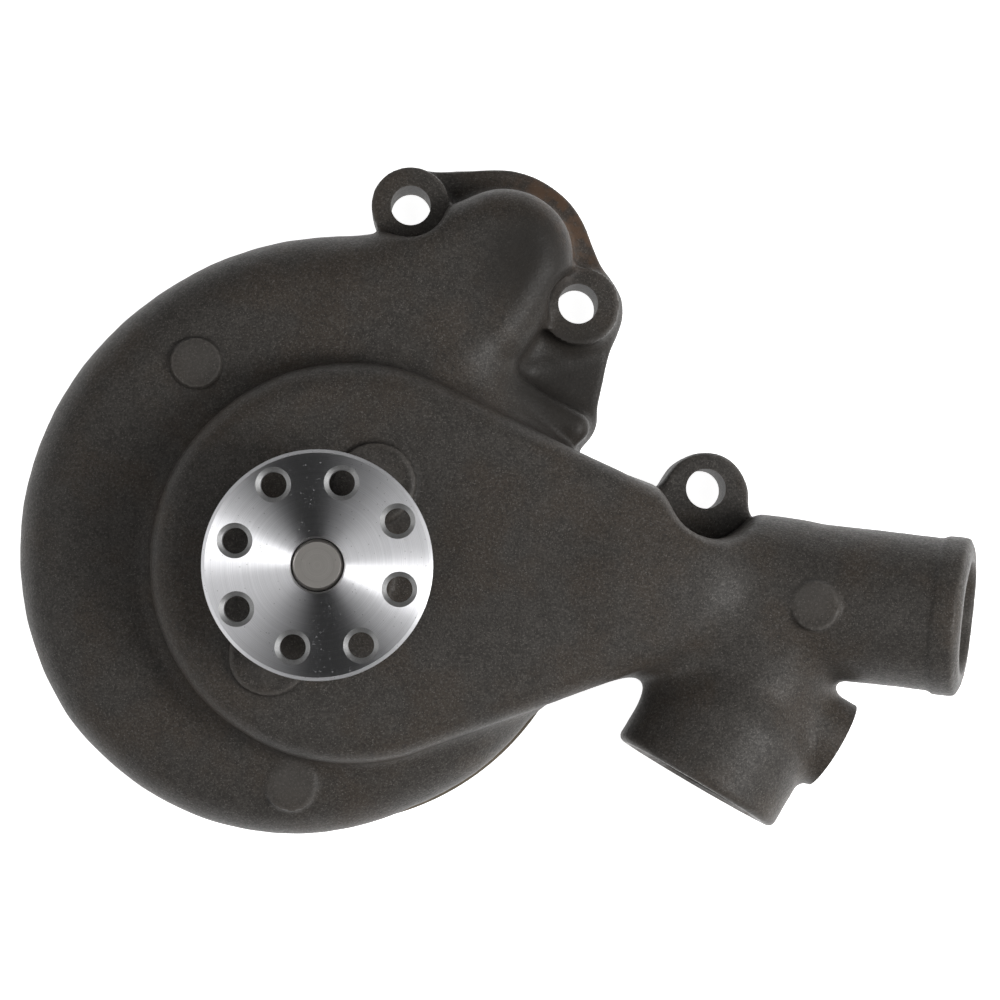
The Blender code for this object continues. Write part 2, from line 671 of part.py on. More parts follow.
def cover_screws():
    """Slotted flat-head screws, flush with the cover's back."""
    for number, (x, y) in enumerate(round_about(SCREW_CIRCLE_R, 22.5, SCREW_COUNT), 1):
        profile = [
            (0.0, 0.2 * MM),
            (SCREW_HEAD_R, 0.2 * MM),
            (SCREW_SHANK_R, SCREW_HEAD_Z),
            (SCREW_SHANK_R, SCREW_TIP_Z - 0.6 * MM),
            (SCREW_SHANK_R - 0.6 * MM, SCREW_TIP_Z),
            (0.0, SCREW_TIP_Z),
        ]
        screw = turned(f"cover_screw_{number}", profile, 12, SCREW_ZINC)
        bm = bmesh.new()
        bmesh.ops.create_cube(bm, size=1.0)
        bmesh.ops.scale(bm, vec=(12.0 * MM, 1.2 * MM, 2.4 * MM), verts=bm.verts)
        cut(screw, mesh_from(bm, "slot"))
        screw.data.transform(Matrix.Rotation(math.radians(37.0 * number), 4, "Z"))
        screw.location = (x, y, 0.0)


# ---------------------------------------------------------------- shaft and bearing


def groove(radius, centre_r, middle_z, from_degrees, to_degrees, steps=4):
    """(radius, z) points of a ball groove's arc."""
    points = []
    for i in range(steps + 1):
        t = math.radians(from_degrees + (to_degrees - from_degrees) * i / steps)
        points.append((centre_r + radius * math.cos(t), middle_z + radius * math.sin(t)))
    return points


def pump_shaft():
    """The turned shaft, which is also the bearing's inner ring: it has both ball grooves."""
    reach = BALL_R + GAP
    half = math.degrees(math.acos((BALL_CIRCLE_R - SHAFT_R) / reach))
    profile = [(0.0, SHAFT_FRONT), (SHAFT_R - 0.8 * MM, SHAFT_FRONT), (SHAFT_R, SHAFT_FRONT - 0.8 * MM)]
    for _, z in reversed(BALL_ROWS):
        profile += groove(reach, BALL_CIRCLE_R, z, 180.0 - half, 180.0 + half)
    profile += [(SHAFT_R, SHAFT_BACK + 0.8 * MM), (SHAFT_R - 0.8 * MM, SHAFT_BACK), (0.0, SHAFT_BACK)]
    return turned("pump_shaft", profile, 28, GROUND_STEEL)


def bearing_outer_ring():
    reach = BALL_R + GAP
    half = math.degrees(math.acos((BEARING_INNER_R - BALL_CIRCLE_R) / reach))
    profile = [(BEARING_R - 0.6 * MM, BEARING_FRONT), (BEARING_R, BEARING_FRONT - 0.6 * MM)]
    profile += [(BEARING_R, BEARING_BACK + 0.6 * MM), (BEARING_R - 0.6 * MM, BEARING_BACK)]
    profile += [(BEARING_INNER_R, BEARING_BACK)]
    for _, z in BALL_ROWS:
        profile += groove(reach, BALL_CIRCLE_R, z, -half, half)
    profile += [(BEARING_INNER_R, BEARING_FRONT)]
    return turned("bearing_outer_ring", profile, 28, BEARING_STEEL)


def sphere(name, radius, at, z, colour=None):
    """A ball beside the shaft, with its origin on the shaft axis, which it is carried round."""
    bm = bmesh.new()
    bmesh.ops.create_uvsphere(bm, u_segments=10, v_segments=6, radius=radius)
    bmesh.ops.translate(bm, vec=(at[0], at[1], 0.0), verts=bm.verts)
    ball = mesh_from(bm, name, colour)
    ball.location = (0.0, 0.0, z)
    return ball


def ball_rows():
    """Each row's crown cage and its balls, which the cage carries round the shaft."""
    for row, z in BALL_ROWS:
        places = round_about(BALL_CIRCLE_R, 0.0, BALL_COUNT)
        cage = ring(8.5 * MM, 11.5 * MM, z - 2.2 * MM, z + 4.6 * MM, f"{row}_ball_cage", CAGE_PLASTIC, 28)
        for number, (x, y) in enumerate(places, 1):
            sphere(f"{row}_ball_{number}", BALL_R, (x, y), z, BEARING_STEEL)
            cut(cage, sphere("pocket", BALL_R + GAP, (x, y), z))
        lighten(cage, CAGE_FACES)


def bearing_seals():
    ring(8.4 * MM, 11.9 * MM, 32.4 * MM, 34.0 * MM, "rear_bearing_seal", SEAL_RUBBER, 28)
    ring(8.4 * MM, 11.9 * MM, 64.0 * MM, 65.6 * MM, "front_bearing_seal", SEAL_RUBBER, 28)


def slinger():
    profile = [
        (SHAFT_R + GAP, 29.6 * MM),
        (10.5 * MM, 29.6 * MM),
        (14.2 * MM, 30.4 * MM),
        (14.6 * MM, 29.8 * MM),
        (10.8 * MM, 28.0 * MM),
        (SHAFT_R + GAP, 28.0 * MM),
    ]
    return turned("slinger", profile, 28, SEAL_RUBBER)


# ---------------------------------------------------------------- water seal


def water_seal():
    """A spring-loaded face seal: the case is in the housing, the ceramic seat turns with the impeller."""
    case = [
        (9.6 * MM, 26.2 * MM),
        (17.2 * MM, 26.2 * MM),
        (18.0 * MM, 25.4 * MM),
        (18.0 * MM, 18.7 * MM),
        (20.8 * MM, 18.7 * MM),
        (20.8 * MM, 17.6 * MM),
        (17.0 * MM, 17.6 * MM),
        (17.0 * MM, 25.2 * MM),
        (9.6 * MM, 25.2 * MM),
    ]
    turned("seal_case", case, 28, SEAL_BRASS)
    bellows = [
        (9.8 * MM, 24.9 * MM),
        (12.4 * MM, 24.9 * MM),
        (12.4 * MM, 24.1 * MM),
        (10.9 * MM, 23.4 * MM),
        (10.9 * MM, 22.4 * MM),
        (11.9 * MM, 21.4 * MM),
        (10.9 * MM, 20.4 * MM),
        (10.9 * MM, 19.2 * MM),
        (16.2 * MM, 18.2 * MM),
        (16.2 * MM, 17.5 * MM),
        (9.8 * MM, 17.5 * MM),
        (9.8 * MM, 20.4 * MM),
        (10.8 * MM, 21.4 * MM),
        (9.8 * MM, 22.4 * MM),
    ]
    turned("seal_bellows", bellows, 28, SEAL_RUBBER)
    seal_spring()
    ring(9.2 * MM, 13.4 * MM, 14.3 * MM, 17.2 * MM, "carbon_ring", CARBON, 28, 0.4 * MM)
    ring(8.9 * MM, 14.2 * MM, 11.0 * MM, 14.0 * MM, "ceramic_seat", CERAMIC, 28, 0.3 * MM)
    boot = [
        (SHAFT_R + GAP, 10.7 * MM),
        (14.5 * MM, 10.7 * MM),
        (14.5 * MM, 13.2 * MM),
        (15.4 * MM, 13.2 * MM),
        (15.4 * MM, 9.7 * MM),
        (SHAFT_R + GAP, 9.7 * MM),
    ]
    turned("seat_boot", boot, 28, SEAL_RUBBER)


def seal_spring(turns=3.0, radius=14.4 * MM, wire=0.6 * MM, back=19.7 * MM, front=24.2 * MM):
    data = bpy.data.curves.new("seal_spring_path", "CURVE")
    data.dimensions = "3D"
    data.bevel_depth = wire
    data.bevel_resolution = 1
    data.use_fill_caps = True
    spline = data.splines.new("POLY")
    steps = int(turns * 14)
    spline.points.add(steps)
    for i, point in enumerate(spline.points):
        t = 2 * math.pi * turns * i / steps
        z = back + (front - back) * i / steps
        point.co = (radius * math.cos(t), radius * math.sin(t), z, 1.0)
    spring = settle(link(bpy.data.objects.new("seal_spring_path", data)))
    spring.name = "seal_spring"
    spring.data.materials.clear()
    spring.data.materials.append(SPRING_STEEL)
    return spring


# ---------------------------------------------------------------- impeller and hub


def vane(number):
    """A swept-back vane: its tip trails clockwise turning, as seen from the pulley."""
    steps = 6
    inner, outer, lean, half = 22.0 * MM, IMPELLER_R - 1.0 * MM, 62.0, 1.5 * MM
    middle = []
    for i in range(steps + 1):
        share = i / steps
        radius = inner + (outer - inner) * share
        turn = math.radians(360.0 * number / VANE_COUNT + lean * share)
        middle.append(Vector((radius * math.cos(turn), radius * math.sin(turn), 0.0)))
    left, right = [], []
    for i, point in enumerate(middle):
        along = (middle[min(i + 1, steps)] - middle[max(i - 1, 0)]).normalized()
        across = Vector((-along.y, along.x, 0.0)) * half
        left.append(point + across)
        right.append(point - across)
    bm = bmesh.new()
    base = IMPELLER_BACK + 1.0 * MM
    face = bm.faces.new([bm.verts.new((p.x, p.y, base)) for p in left + right[::-1]])
    grown = bmesh.ops.extrude_face_region(bm, geom=[face])
    verts = [item for item in grown["geom"] if isinstance(item, bmesh.types.BMVert)]
    bmesh.ops.translate(bm, vec=(0.0, 0.0, VANE_FRONT - base), verts=verts)
    return mesh_from(bm, "vane")


def impeller():
    plate_front = IMPELLER_BACK + IMPELLER_PLATE
    profile = [
        (SHAFT_R + GAP, IMPELLER_BACK),
        (IMPELLER_R, IMPELLER_BACK),
        (IMPELLER_R, plate_front),
        (IMPELLER_BOSS_R + 4.0 * MM, plate_front),
        (IMPELLER_BOSS_R, plate_front + 3.0 * MM),
        (IMPELLER_BOSS_R, IMPELLER_BOSS_FRONT),
        (15.7 * MM, IMPELLER_BOSS_FRONT),
        (15.7 * MM, 9.4 * MM),
        (SHAFT_R + GAP, 9.4 * MM),
    ]
    wheel = turned("impeller", profile, 48, CAST_IRON)
    join(wheel, *[vane(number) for number in range(VANE_COUNT)])
    return clean_flats(wheel)


def pulley_hub():
    """The pressed-on hub: a flange with two sets of four countersunk holes, and a boss behind it."""
    bore = SHAFT_R + GAP
    profile = [
        (bore, 68.4 * MM),
        (14.2 * MM, 68.4 * MM),
        (15.0 * MM, 69.2 * MM),
        (15.0 * MM, HUB_BACK - 1.0 * MM),
        (16.0 * MM, HUB_BACK),
        (HUB_R - 0.8 * MM, HUB_BACK),
        (HUB_R, HUB_BACK + 0.8 * MM),
        (HUB_R, HUB_FRONT - 1.0 * MM),
        (HUB_R - 1.0 * MM, HUB_FRONT),
        (bore + 0.6 * MM, HUB_FRONT),
        (bore, HUB_FRONT - 0.6 * MM),
    ]
    hub = turned("pulley_hub", profile, 64, TURNED_STEEL)
    for circle_r, first in HUB_CIRCLES:
        for x, y in round_about(circle_r, first, 4):
            hole = rod((x, y, 0.0), (0, 0, 1), HUB_HOLE_R, 72.0 * MM, 82.0 * MM, 16)
            depth = HUB_SINK_R - HUB_HOLE_R
            wide = HUB_SINK_R + 1.0 * MM
            sink = rod((x, y, 0.0), (0, 0, 1), HUB_HOLE_R, HUB_FRONT - depth, HUB_FRONT + 1.0 * MM, 16, wide)
            cut(hub, hole, sink)
    return clean_flats(hub)


def shade_round(obj):
    obj.data.shade_smooth()
    obj.data.set_sharp_from_angle(angle=math.radians(32.0))


pump_housing()
rear_cover()
cover_gasket()
cover_screws()
pump_shaft()
bearing_outer_ring()
ball_rows()
bearing_seals()
slinger()
water_seal()
impeller()
pulley_hub()
for piece in PARTS.objects:
    shade_round(piece)
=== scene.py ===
"""Looks of the engine water pump: the cast housing, the turned hub and every smaller piece.

Metres, +Z up. The pump lies on its back, so the shaft axis is +Z and the camera looks down at the
pulley hub. Sizes in the tables below are in millimetres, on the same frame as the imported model.
"""

import math

import bmesh
import bpy
import numpy as np
import openvdb
from mathutils import Matrix, Vector


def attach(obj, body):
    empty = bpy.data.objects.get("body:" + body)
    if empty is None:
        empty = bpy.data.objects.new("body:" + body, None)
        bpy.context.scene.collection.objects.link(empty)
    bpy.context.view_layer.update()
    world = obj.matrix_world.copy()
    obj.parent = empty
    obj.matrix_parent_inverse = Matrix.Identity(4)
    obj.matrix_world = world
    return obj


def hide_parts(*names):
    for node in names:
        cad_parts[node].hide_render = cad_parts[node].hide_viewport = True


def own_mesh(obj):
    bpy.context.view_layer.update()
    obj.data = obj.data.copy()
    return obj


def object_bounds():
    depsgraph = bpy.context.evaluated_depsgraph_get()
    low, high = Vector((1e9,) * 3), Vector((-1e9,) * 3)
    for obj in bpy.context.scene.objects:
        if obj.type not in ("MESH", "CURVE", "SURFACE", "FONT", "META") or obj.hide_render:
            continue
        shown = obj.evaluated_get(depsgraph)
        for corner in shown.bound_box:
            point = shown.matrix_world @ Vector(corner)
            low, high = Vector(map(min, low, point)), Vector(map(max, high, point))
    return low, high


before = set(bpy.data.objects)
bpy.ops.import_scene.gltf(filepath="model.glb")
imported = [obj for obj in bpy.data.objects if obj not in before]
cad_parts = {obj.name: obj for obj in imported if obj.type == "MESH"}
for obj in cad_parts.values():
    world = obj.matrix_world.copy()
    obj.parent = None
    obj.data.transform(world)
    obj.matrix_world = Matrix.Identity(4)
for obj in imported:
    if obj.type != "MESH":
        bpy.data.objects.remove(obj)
CAD_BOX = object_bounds()

MM = 0.001
VOXEL = 0.9  # mm, spacing of the grid that the casting is worked out on
GAP = 0.3

# Camera, in mm on the pump's frame
CAMERA_AT = (31.35, -3.67, 840.5)
CAMERA_AIM = (0.0322, 0.0310, -1.0)
CAMERA_LENS = 89.5

# Scroll
SCROLL_START = -35.0
SCROLL_R = 84.5
SCROLL_FLAT_SWEEP = 35.0
SCROLL_TURN_SWEEP = 115.0
SCROLL_FAST_GROWTH = 0.165
SCROLL_SLOW_GROWTH = 0.085
SCROLL_LATE_SWEEP = 200.0
SCROLL_LATE_GROWTH = 0.04
SCROLL_LAST_SWEEP = 245.0
SCROLL_BACK_SWEEP = 292.0
SCROLL_FRONT = 35.5
WALL = 5.0
DUCT_WALL = 7.5
VOLUTE_FLOOR = 13.5
VOLUTE_ROOF = 31.0
VOLUTE_TONGUE_R = 72.0
COVER_R = 86.3
COVER_SEAT_Z = 4.9
COVER_OPENING_R = 74.0
DIVIDER_BACK = 27.5
DIVIDER_FRONT = 31.5

# Suction chamber, arm and ports
CHAMBER_AT = (9.3, 0.9)
CHAMBER_R = 64.8
CHAMBER_FRONT = 57.0
ARM_PLAN = (103.0, -4.0)
ARM_HALF_WIDTH = 28.5
NIPPLE_ROOT = np.array((150.0, -10.0, 30.0))
NIPPLE_LENGTH = 60.0
NIPPLE_RIM = 4.0
NIPPLE_R = 24.6
NIPPLE_LIP_R = 25.1
NIPPLE_LIP_LENGTH = 8.0
NIPPLE_PAD = (14.5, -2.0, 8.0, 2.0)  # along and across from the root, radius, height
NIPPLE_BORE_R = 17.6
PORT_FACE = np.array((120.7, -70.9, 30.2))
PORT_R = 29.0
PORT_BORE_R = 24.0
PORT_RIM = 2.4
SMALL_PORT_FACE = np.array((166.2, -58.5, 29.0))
SMALL_PORT_R = 14.9
SMALL_PORT_BORE_R = 9.0

# Discharge and bolt ears
DUCT_DISCS = ((20.0, 76.0, 31.5), (59.2, 101.9, 22.8), (48.0, 85.0, 23.0))
FLANGE_DISCS = ((57.0, 100.5, 32.9), (36.0, 117.8, 14.6), (84.4, 86.2, 12.4))
WEB_DISCS = (
    (50.0, 60.0, 8.0),
    (86.4, 85.0, 11.4),
    (84.5, 50.5, 5.8),
    (72.0, 40.0, 6.0),
    (70.0, 61.0, 8.0),
)
RIDGE_ENDS = ((58.0, 58.0), (82.0, 45.8))
OUTLET = (59.2, 101.9, 17.3)
EARS = ((28.2, 119.3, 13.1), (84.4, 86.2, 13.1), (126.1, 23.4, 14.5))
EAR_HOLES = ((28.2, 119.3), (83.7, 86.9), (126.1, 25.6))
EAR_FILLETS = (3.5, 4.5, 8.0)
SPOT_FACE_R = (11.6, 10.6, 14.7)
SPOT_FACE_LIPS = (2.0, 2.5, 5.0)
SPOT_FACE_Z = 21.1
EAR_THICK = 20.5
EAR_HOLE_R = 6.6
WEEP_CIRCLE_R = 27.0
WEEP_PILLAR_R = 7.0
WEEP_R = 2.2
WEEP_INNER = (15.0, 28.8)  # how far out, and z
WEEP_LEAN = 1.07  # share of the circle's radius at its front end
WEEP_FRONT = 60.0
PADS = (  # x, y, radius and top
    (-40.9, 65.4, 8.4, 37.8),
    (-10.1, -70.8, 8.4, 36.3),
    (17.3, 25.9, 12.8, 59.1),
    (-15.9, -28.2, 12.8, 59.1),
)

# Turned pieces
SHAFT_R = 7.96
SHAFT_BACK = 5.6
SHAFT_FRONT = 80.0
NOSE_R = 21.5
NOSE_FRONT = 66.8
TUBE_R = 22.5
TUBE_BACK = 19.0
EYE_R = 37.0
SEAL_BORE_R = 18.3
SEAL_SHELF_Z = 26.5
SLINGER_ROOM_R = 16.4
BEARING_R = 15.0
BEARING_BACK = 31.2
BALL_R = 3.175
BALL_CIRCLE_R = 9.9
BALL_ROWS = (41.0, 57.0)
HUB_R = 35.4
HUB_BACK = 74.0
HUB_FRONT = 80.5
HUB_BORE_R = 8.26
HUB_BOSS_R = 15.0
HUB_BOSS_BACK = 68.4
HUB_CIRCLES = ((27.95, 28.7), (26.2, -16.5))
HUB_HOLE_R = 4.0
HUB_SINK_R = 5.45
SCREW_CIRCLE_R = 78.6
SCREW_COUNT = 8
SCREW_HOLE_R = 2.6
COVER_THICK = 3.5


def direction(plan_angle, lift):
    plan = math.radians(plan_angle)
    rise = math.radians(lift)
    return np.array((math.cos(rise) * math.cos(plan), math.cos(rise) * math.sin(plan), math.sin(rise)))


NIPPLE_AIM = direction(-6.8, 17.5)
NIPPLE_UP = direction(173.2, 72.5)
PORT_AIM = direction(-120.7, 2.5)
SMALL_PORT_AIM = direction(-31.0, 0.0)


def round_about(radius, first_angle, count):
    turns = [math.radians(first_angle + 360.0 * i / count) for i in range(count)]
    return [(radius * math.cos(t), radius * math.sin(t)) for t in turns]


WEEP_PLACES = round_about(WEEP_CIRCLE_R, 56.0, 2)


# ---------------------------------------------------------------- the casting, as a distance field


def melt(a, b, reach):
    """Joins two distance fields with a fillet that starts within reach of their meeting line."""
    if reach <= 0.0:
        return np.minimum(a, b)
    near = np.maximum(reach - np.abs(a - b), 0.0) / reach
    return np.minimum(a, b) - near * near * reach * 0.25


def carve(a, b, reach):
    """Takes b away from a, with an eased edge."""
    return -melt(-a, b, reach)


def rounded(flat, up, radius):
    """An extruded form from its distance in plan and its distance past its top, edge rounded."""
    out = np.hypot(np.maximum(flat + radius, 0.0), np.maximum(up + radius, 0.0))
    return out + np.minimum(np.maximum(flat, up) + radius, 0.0) - radius


def disc_pair(x, y, first, second):
    """Plan distance to the shape that two discs and their outer tangents enclose."""
    (ax, ay, ra), (bx, by, rb) = (first, second) if first[2] >= second[2] else (second, first)
    length = math.hypot(bx - ax, by - ay)
    along = ((x - ax) * (bx - ax) + (y - ay) * (by - ay)) / length
    across = np.abs((x - ax) * (by - ay) - (y - ay) * (bx - ax)) / length
    lean = (ra - rb) / length
    level = math.sqrt(1.0 - lean * lean)
    side = across * level + along * lean - ra
    place = along * level - across * lean
    at_first = np.hypot(along, across) - ra
    at_second = np.hypot(along - length, across) - rb
    return np.where(place < 0.0, at_first, np.where(place > length * level, at_second, side))


def disc_group(x, y, discs):
    result = None
    for i, first in enumerate(discs):
        for second in discs[i + 1 :]:
            pair = disc_pair(x, y, first, second)
            result = pair if result is None else np.minimum(result, pair)
    return result


def along_and_across(x, y, z, at, aim):
    """How far points lie along a line from a point, and how far from the line."""
    dx, dy, dz = x - at[0], y - at[1], z - at[2]
    along = dx * aim[0] + dy * aim[1] + dz * aim[2]
    across = np.sqrt(np.maximum(dx * dx + dy * dy + dz * dz - along * along, 0.0))
    return along, across


def bar(x, y, z, at, aim, radius, back, front):
    """A round bar from back to front along a line."""
    along, across = along_and_across(x, y, z, at, aim)
    return np.maximum(across - radius, np.maximum(along - front, back - along))


def swept_ball(x, y, z, start, end, start_r, end_r):
    """A ball that moves from start to end while its radius changes."""
    a, b = np.array(start), np.array(end)
    length = float(np.linalg.norm(b - a))
    along, across = along_and_across(x, y, z, a, (b - a) / length)
    share = np.clip(along / length, 0.0, 1.0)
    radius = start_r + (end_r - start_r) * share
    return np.hypot(across, along - share * length) - radius


def scroll_radius(angle, base, inset):
    """The scroll's outer radius at each angle in degrees, a spiral that grows clockwise."""
    sweep = np.mod(SCROLL_START - angle, 360.0)
    early = base + (SCROLL_R - inset - base) * np.minimum(sweep / SCROLL_FLAT_SWEEP, 1.0)
    last = grown_radius(SCROLL_LAST_SWEEP) - inset
    share = (sweep - SCROLL_LAST_SWEEP) / (SCROLL_BACK_SWEEP - SCROLL_LAST_SWEEP)
    share = np.clip(share, 0.0, 1.0)
    falling = last + (base - last) * share * share * (3.0 - 2.0 * share)
    later = np.where(sweep < SCROLL_LAST_SWEEP, grown_radius(sweep) - inset, falling)
    return np.where(sweep < SCROLL_FLAT_SWEEP, early, later)


def grown_radius(sweep):
    fast = np.clip(sweep - SCROLL_FLAT_SWEEP, 0.0, SCROLL_TURN_SWEEP - SCROLL_FLAT_SWEEP)
    slow = np.maximum(sweep - SCROLL_TURN_SWEEP, 0.0)
    late = np.maximum(sweep - SCROLL_LATE_SWEEP, 0.0)
    return SCROLL_R + SCROLL_FAST_GROWTH * fast + SCROLL_SLOW_GROWTH * slow + SCROLL_LATE_GROWTH * late


def spiral(x, y, z, base, inset, back, middle, front, back_round, front_round):
    """A flat spiral body: round at its rim, more so in front of its widest level than behind."""
    flat = np.hypot(x, y) - scroll_radius(np.degrees(np.arctan2(y, x)), base, inset)
    ahead = rounded(flat, z - front, front_round)
    behind = rounded(flat, back - z, back_round)
    return np.where(z > middle, ahead, behind)


def outer_form(x, y, z):
    """The raw casting's outside."""
    form = spiral(x, y, z, SCROLL_R, 0.0, 4.0, 15.5, SCROLL_FRONT, 3.0, 19.5)
    form = melt(form, duct_form(x, y, z), 5.0)
    web = rounded(disc_group(x, y, WEB_DISCS), z - 9.0, 2.0)
    form = melt(form, web, 6.0)
    ridge = rounded(disc_pair(x, y, (*RIDGE_ENDS[0], 6.0), (*RIDGE_ENDS[1], 5.4)), z - 26.0, 5.0)
    form = melt(form, ridge, 9.0)
    flange = rounded(disc_group(x, y, FLANGE_DISCS), z - 10.0, 1.6)
    form = melt(form, flange, 8.0)
    form = melt(form, chamber_form(x, y, z), 6.0)
    arm = swept_ball(x, y, z, (96.0, -3.2, 29.4), NIPPLE_ROOT, 27.2, NIPPLE_R + 0.5)
    form = melt(form, arm, 9.0)
    ports = melt(port_form(x, y, z), small_port_form(x, y, z), 5.0)
    form = melt(form, ports, 11.0)
    along, across = along_and_across(x, y, z, NIPPLE_ROOT, NIPPLE_AIM)
    taper = NIPPLE_LIP_R - 0.2 + 0.3 * np.clip(1.0 - along / 45.0, 0.0, 1.0)
    nipple = np.maximum(across - taper, np.maximum(along - NIPPLE_LENGTH + 2.0, -18.0 - along))
    form = melt(form, nipple, 3.0)
    lip = rounded(across - NIPPLE_LIP_R, along - NIPPLE_LENGTH, NIPPLE_RIM)
    lip = np.maximum(lip, NIPPLE_LENGTH - NIPPLE_LIP_LENGTH - along)
    form = melt(form, lip, 3.0)
    nose = bar(x, y, z, (0.0, 0.0, 0.0), (0.0, 0.0, 1.0), NOSE_R, 30.0, NOSE_FRONT + 3.0)
    form = melt(form, nose, 5.0)
    form = with_ears(x, y, z, form)
    form = with_pads(x, y, z, form)
    return form + lumps(x, y, z)


def with_ears(x, y, z, form):
    """Adds the bolt ears and clears the room for each bolt's head in front of them."""
    for ear, fillet, spot_r, lip in zip(EARS, EAR_FILLETS, SPOT_FACE_R, SPOT_FACE_LIPS):
        ear_x, ear_y, radius = ear
        flat = np.hypot(x - ear_x, y - ear_y)
        form = melt(form, rounded(flat - radius, z - EAR_THICK, 1.1), fillet)
        form = carve(form, np.maximum(flat - spot_r, SPOT_FACE_Z - z), lip)
    return form


def with_pads(x, y, z, form):
    """Adds the low round pads on the scroll, the chamber and the nipple."""
    for pad_x, pad_y, radius, top in PADS:
        flat = np.hypot(x - pad_x, y - pad_y) - radius
        pad = np.maximum(rounded(flat, z - top, 1.0), top - 9.0 - z)
        form = melt(form, pad, 1.2)
    along_axis, aside, radius, height = NIPPLE_PAD
    crest = NIPPLE_ROOT + NIPPLE_AIM * along_axis + np.array((0.0, aside, 0.0))
    along, across = along_and_across(x, y, z, crest, NIPPLE_UP)
    pad = np.maximum(rounded(across - radius, along - NIPPLE_R - height, 1.0), 14.0 - along)
    return melt(form, pad, 1.2)


def lumps(x, y, z):
    """The slow unevenness of a sand mould in mm, which only takes metal away."""
    slow = np.sin(x / 5.3 + 1.7 * np.sin(y / 9.1)) * np.sin(y / 4.7 + 0.9 * np.sin(z / 6.1))
    quick = np.sin(x / 1.9 + y / 2.7) * np.sin(y / 2.1 - z / 2.3 + 1.3 * np.sin(x / 6.7))
    return 0.14 + 0.09 * slow + 0.05 * quick


def duct_form(x, y, z):
    return rounded(disc_group(x, y, DUCT_DISCS), z - 35.0, 13.0)


def chamber_form(x, y, z):
    flat = disc_pair(x, y, (*CHAMBER_AT, CHAMBER_R), (*ARM_PLAN, ARM_HALF_WIDTH))
    draft = 0.06 * np.maximum(z - 32.0, 0.0)
    crown = 2.2 * np.clip((flat + 45.0) / 45.0, 0.0, 1.0) ** 2
    form = rounded(flat + draft, z - CHAMBER_FRONT + crown, 8.5)
    return np.maximum(form, 6.0 - z)


def port_form(x, y, z):
    """The collar, its shoulder and its neck."""
    along, across = along_and_across(x, y, z, PORT_FACE, PORT_AIM)
    share = np.clip((-along - 22.0) / 16.0, 0.0, 1.0)
    radius = PORT_R - 5.5 * share * share * (3.0 - 2.0 * share)
    return np.maximum(rounded(across - radius, along, PORT_RIM), -64.0 - along)


def small_port_form(x, y, z):
    radius = SMALL_PORT_R + 0.3
    return bar(x, y, z, SMALL_PORT_FACE, SMALL_PORT_AIM, radius, -36.0, 3.0)


def water_ways(x, y, z):
    """The cast hollows: suction chamber, arm, eye and scroll channel."""
    inner_disc = (ARM_PLAN[0], ARM_PLAN[1] - 4.0, ARM_HALF_WIDTH - 9.0)
    flat = disc_pair(x, y, (*CHAMBER_AT, CHAMBER_R - WALL), inner_disc)
    chamber = np.maximum(rounded(flat, z - 52.0, 5.0), DIVIDER_FRONT - z)
    bend, bend_r = (128.0, -13.0, 29.0), 18.6
    arm = swept_ball(x, y, z, (104.0, -8.0, 29.8), bend, 20.4, bend_r)
    elbow = swept_ball(x, y, z, bend, NIPPLE_ROOT, bend_r, 18.8)
    space = melt(chamber, melt(arm, elbow, 3.0), 5.0)
    tube = np.maximum(np.hypot(x, y) - TUBE_R, TUBE_BACK - z)
    for weep_x, weep_y in WEEP_PLACES:
        pillar = np.maximum(np.hypot(x - weep_x, y - weep_y) - WEEP_PILLAR_R, VOLUTE_ROOF - z)
        tube = melt(tube, pillar, 3.0)
    eye = np.maximum(np.hypot(x, y) - EYE_R, np.maximum(z - DIVIDER_FRONT - 1.0, 20.0 - z))
    space = melt(space, eye, 2.0)
    volute = spiral(x, y, z, VOLUTE_TONGUE_R, WALL, VOLUTE_FLOOR, 21.5, VOLUTE_ROOF, 7.0, 9.0)
    discs = [(disc_x, disc_y, radius - DUCT_WALL) for disc_x, disc_y, radius in DUCT_DISCS]
    duct = np.maximum(rounded(disc_group(x, y, discs), z - 30.0, 9.0), VOLUTE_FLOOR - z)
    wheel = np.maximum(np.hypot(x, y) - COVER_OPENING_R, np.maximum(z - DIVIDER_BACK, -z))
    space = melt(space, melt(volute, duct, 3.0), 0.0)
    space = melt(space, wheel, 1.0)
    return carve(space, tube, 1.5)


def casting_mesh():
    """Works the casting out on a grid and returns its surface as an object."""
    low = np.array(CAD_BOX[0]) / MM - 5.0
    high = np.array(CAD_BOX[1]) / MM + 5.0
    low[2] = -4.0
    high[2] = 78.0
    counts = np.ceil((high - low) / VOXEL).astype(int)
    axes = [low[i] + VOXEL * np.arange(counts[i], dtype=np.float32) for i in range(3)]
    x = axes[0][:, None, None]
    y = axes[1][None, :, None]
    z = axes[2][None, None, :]
    field = carve(outer_form(x, y, z), water_ways(x, y, z), 1.0)
    field = np.maximum(field, -2.5 - z)
    depth = 3.0 * VOXEL
    field = np.clip(field, -depth, depth).astype(np.float32)
    grid = openvdb.FloatGrid(background=depth)
    grid.copyFromArray(np.ascontiguousarray(field))
    points, quads = grid.convertToQuads(isovalue=0.0)
    points = (points * VOXEL + low) * MM
    mesh = bpy.data.meshes.new("housing_casting")
    mesh.from_pydata(points.tolist(), [], quads[:, ::-1].tolist())
    bm = bmesh.new()
    bm.from_mesh(mesh)
    bmesh.ops.recalc_face_normals(bm, faces=bm.faces)
    bm.to_mesh(mesh)
    bm.free()
    return new_object("housing_casting", mesh)


# ---------------------------------------------------------------- turned and cut pieces


def new_object(name, mesh):
    piece = bpy.data.objects.new(name, mesh)
    bpy.context.scene.collection.objects.link(piece)
    return piece


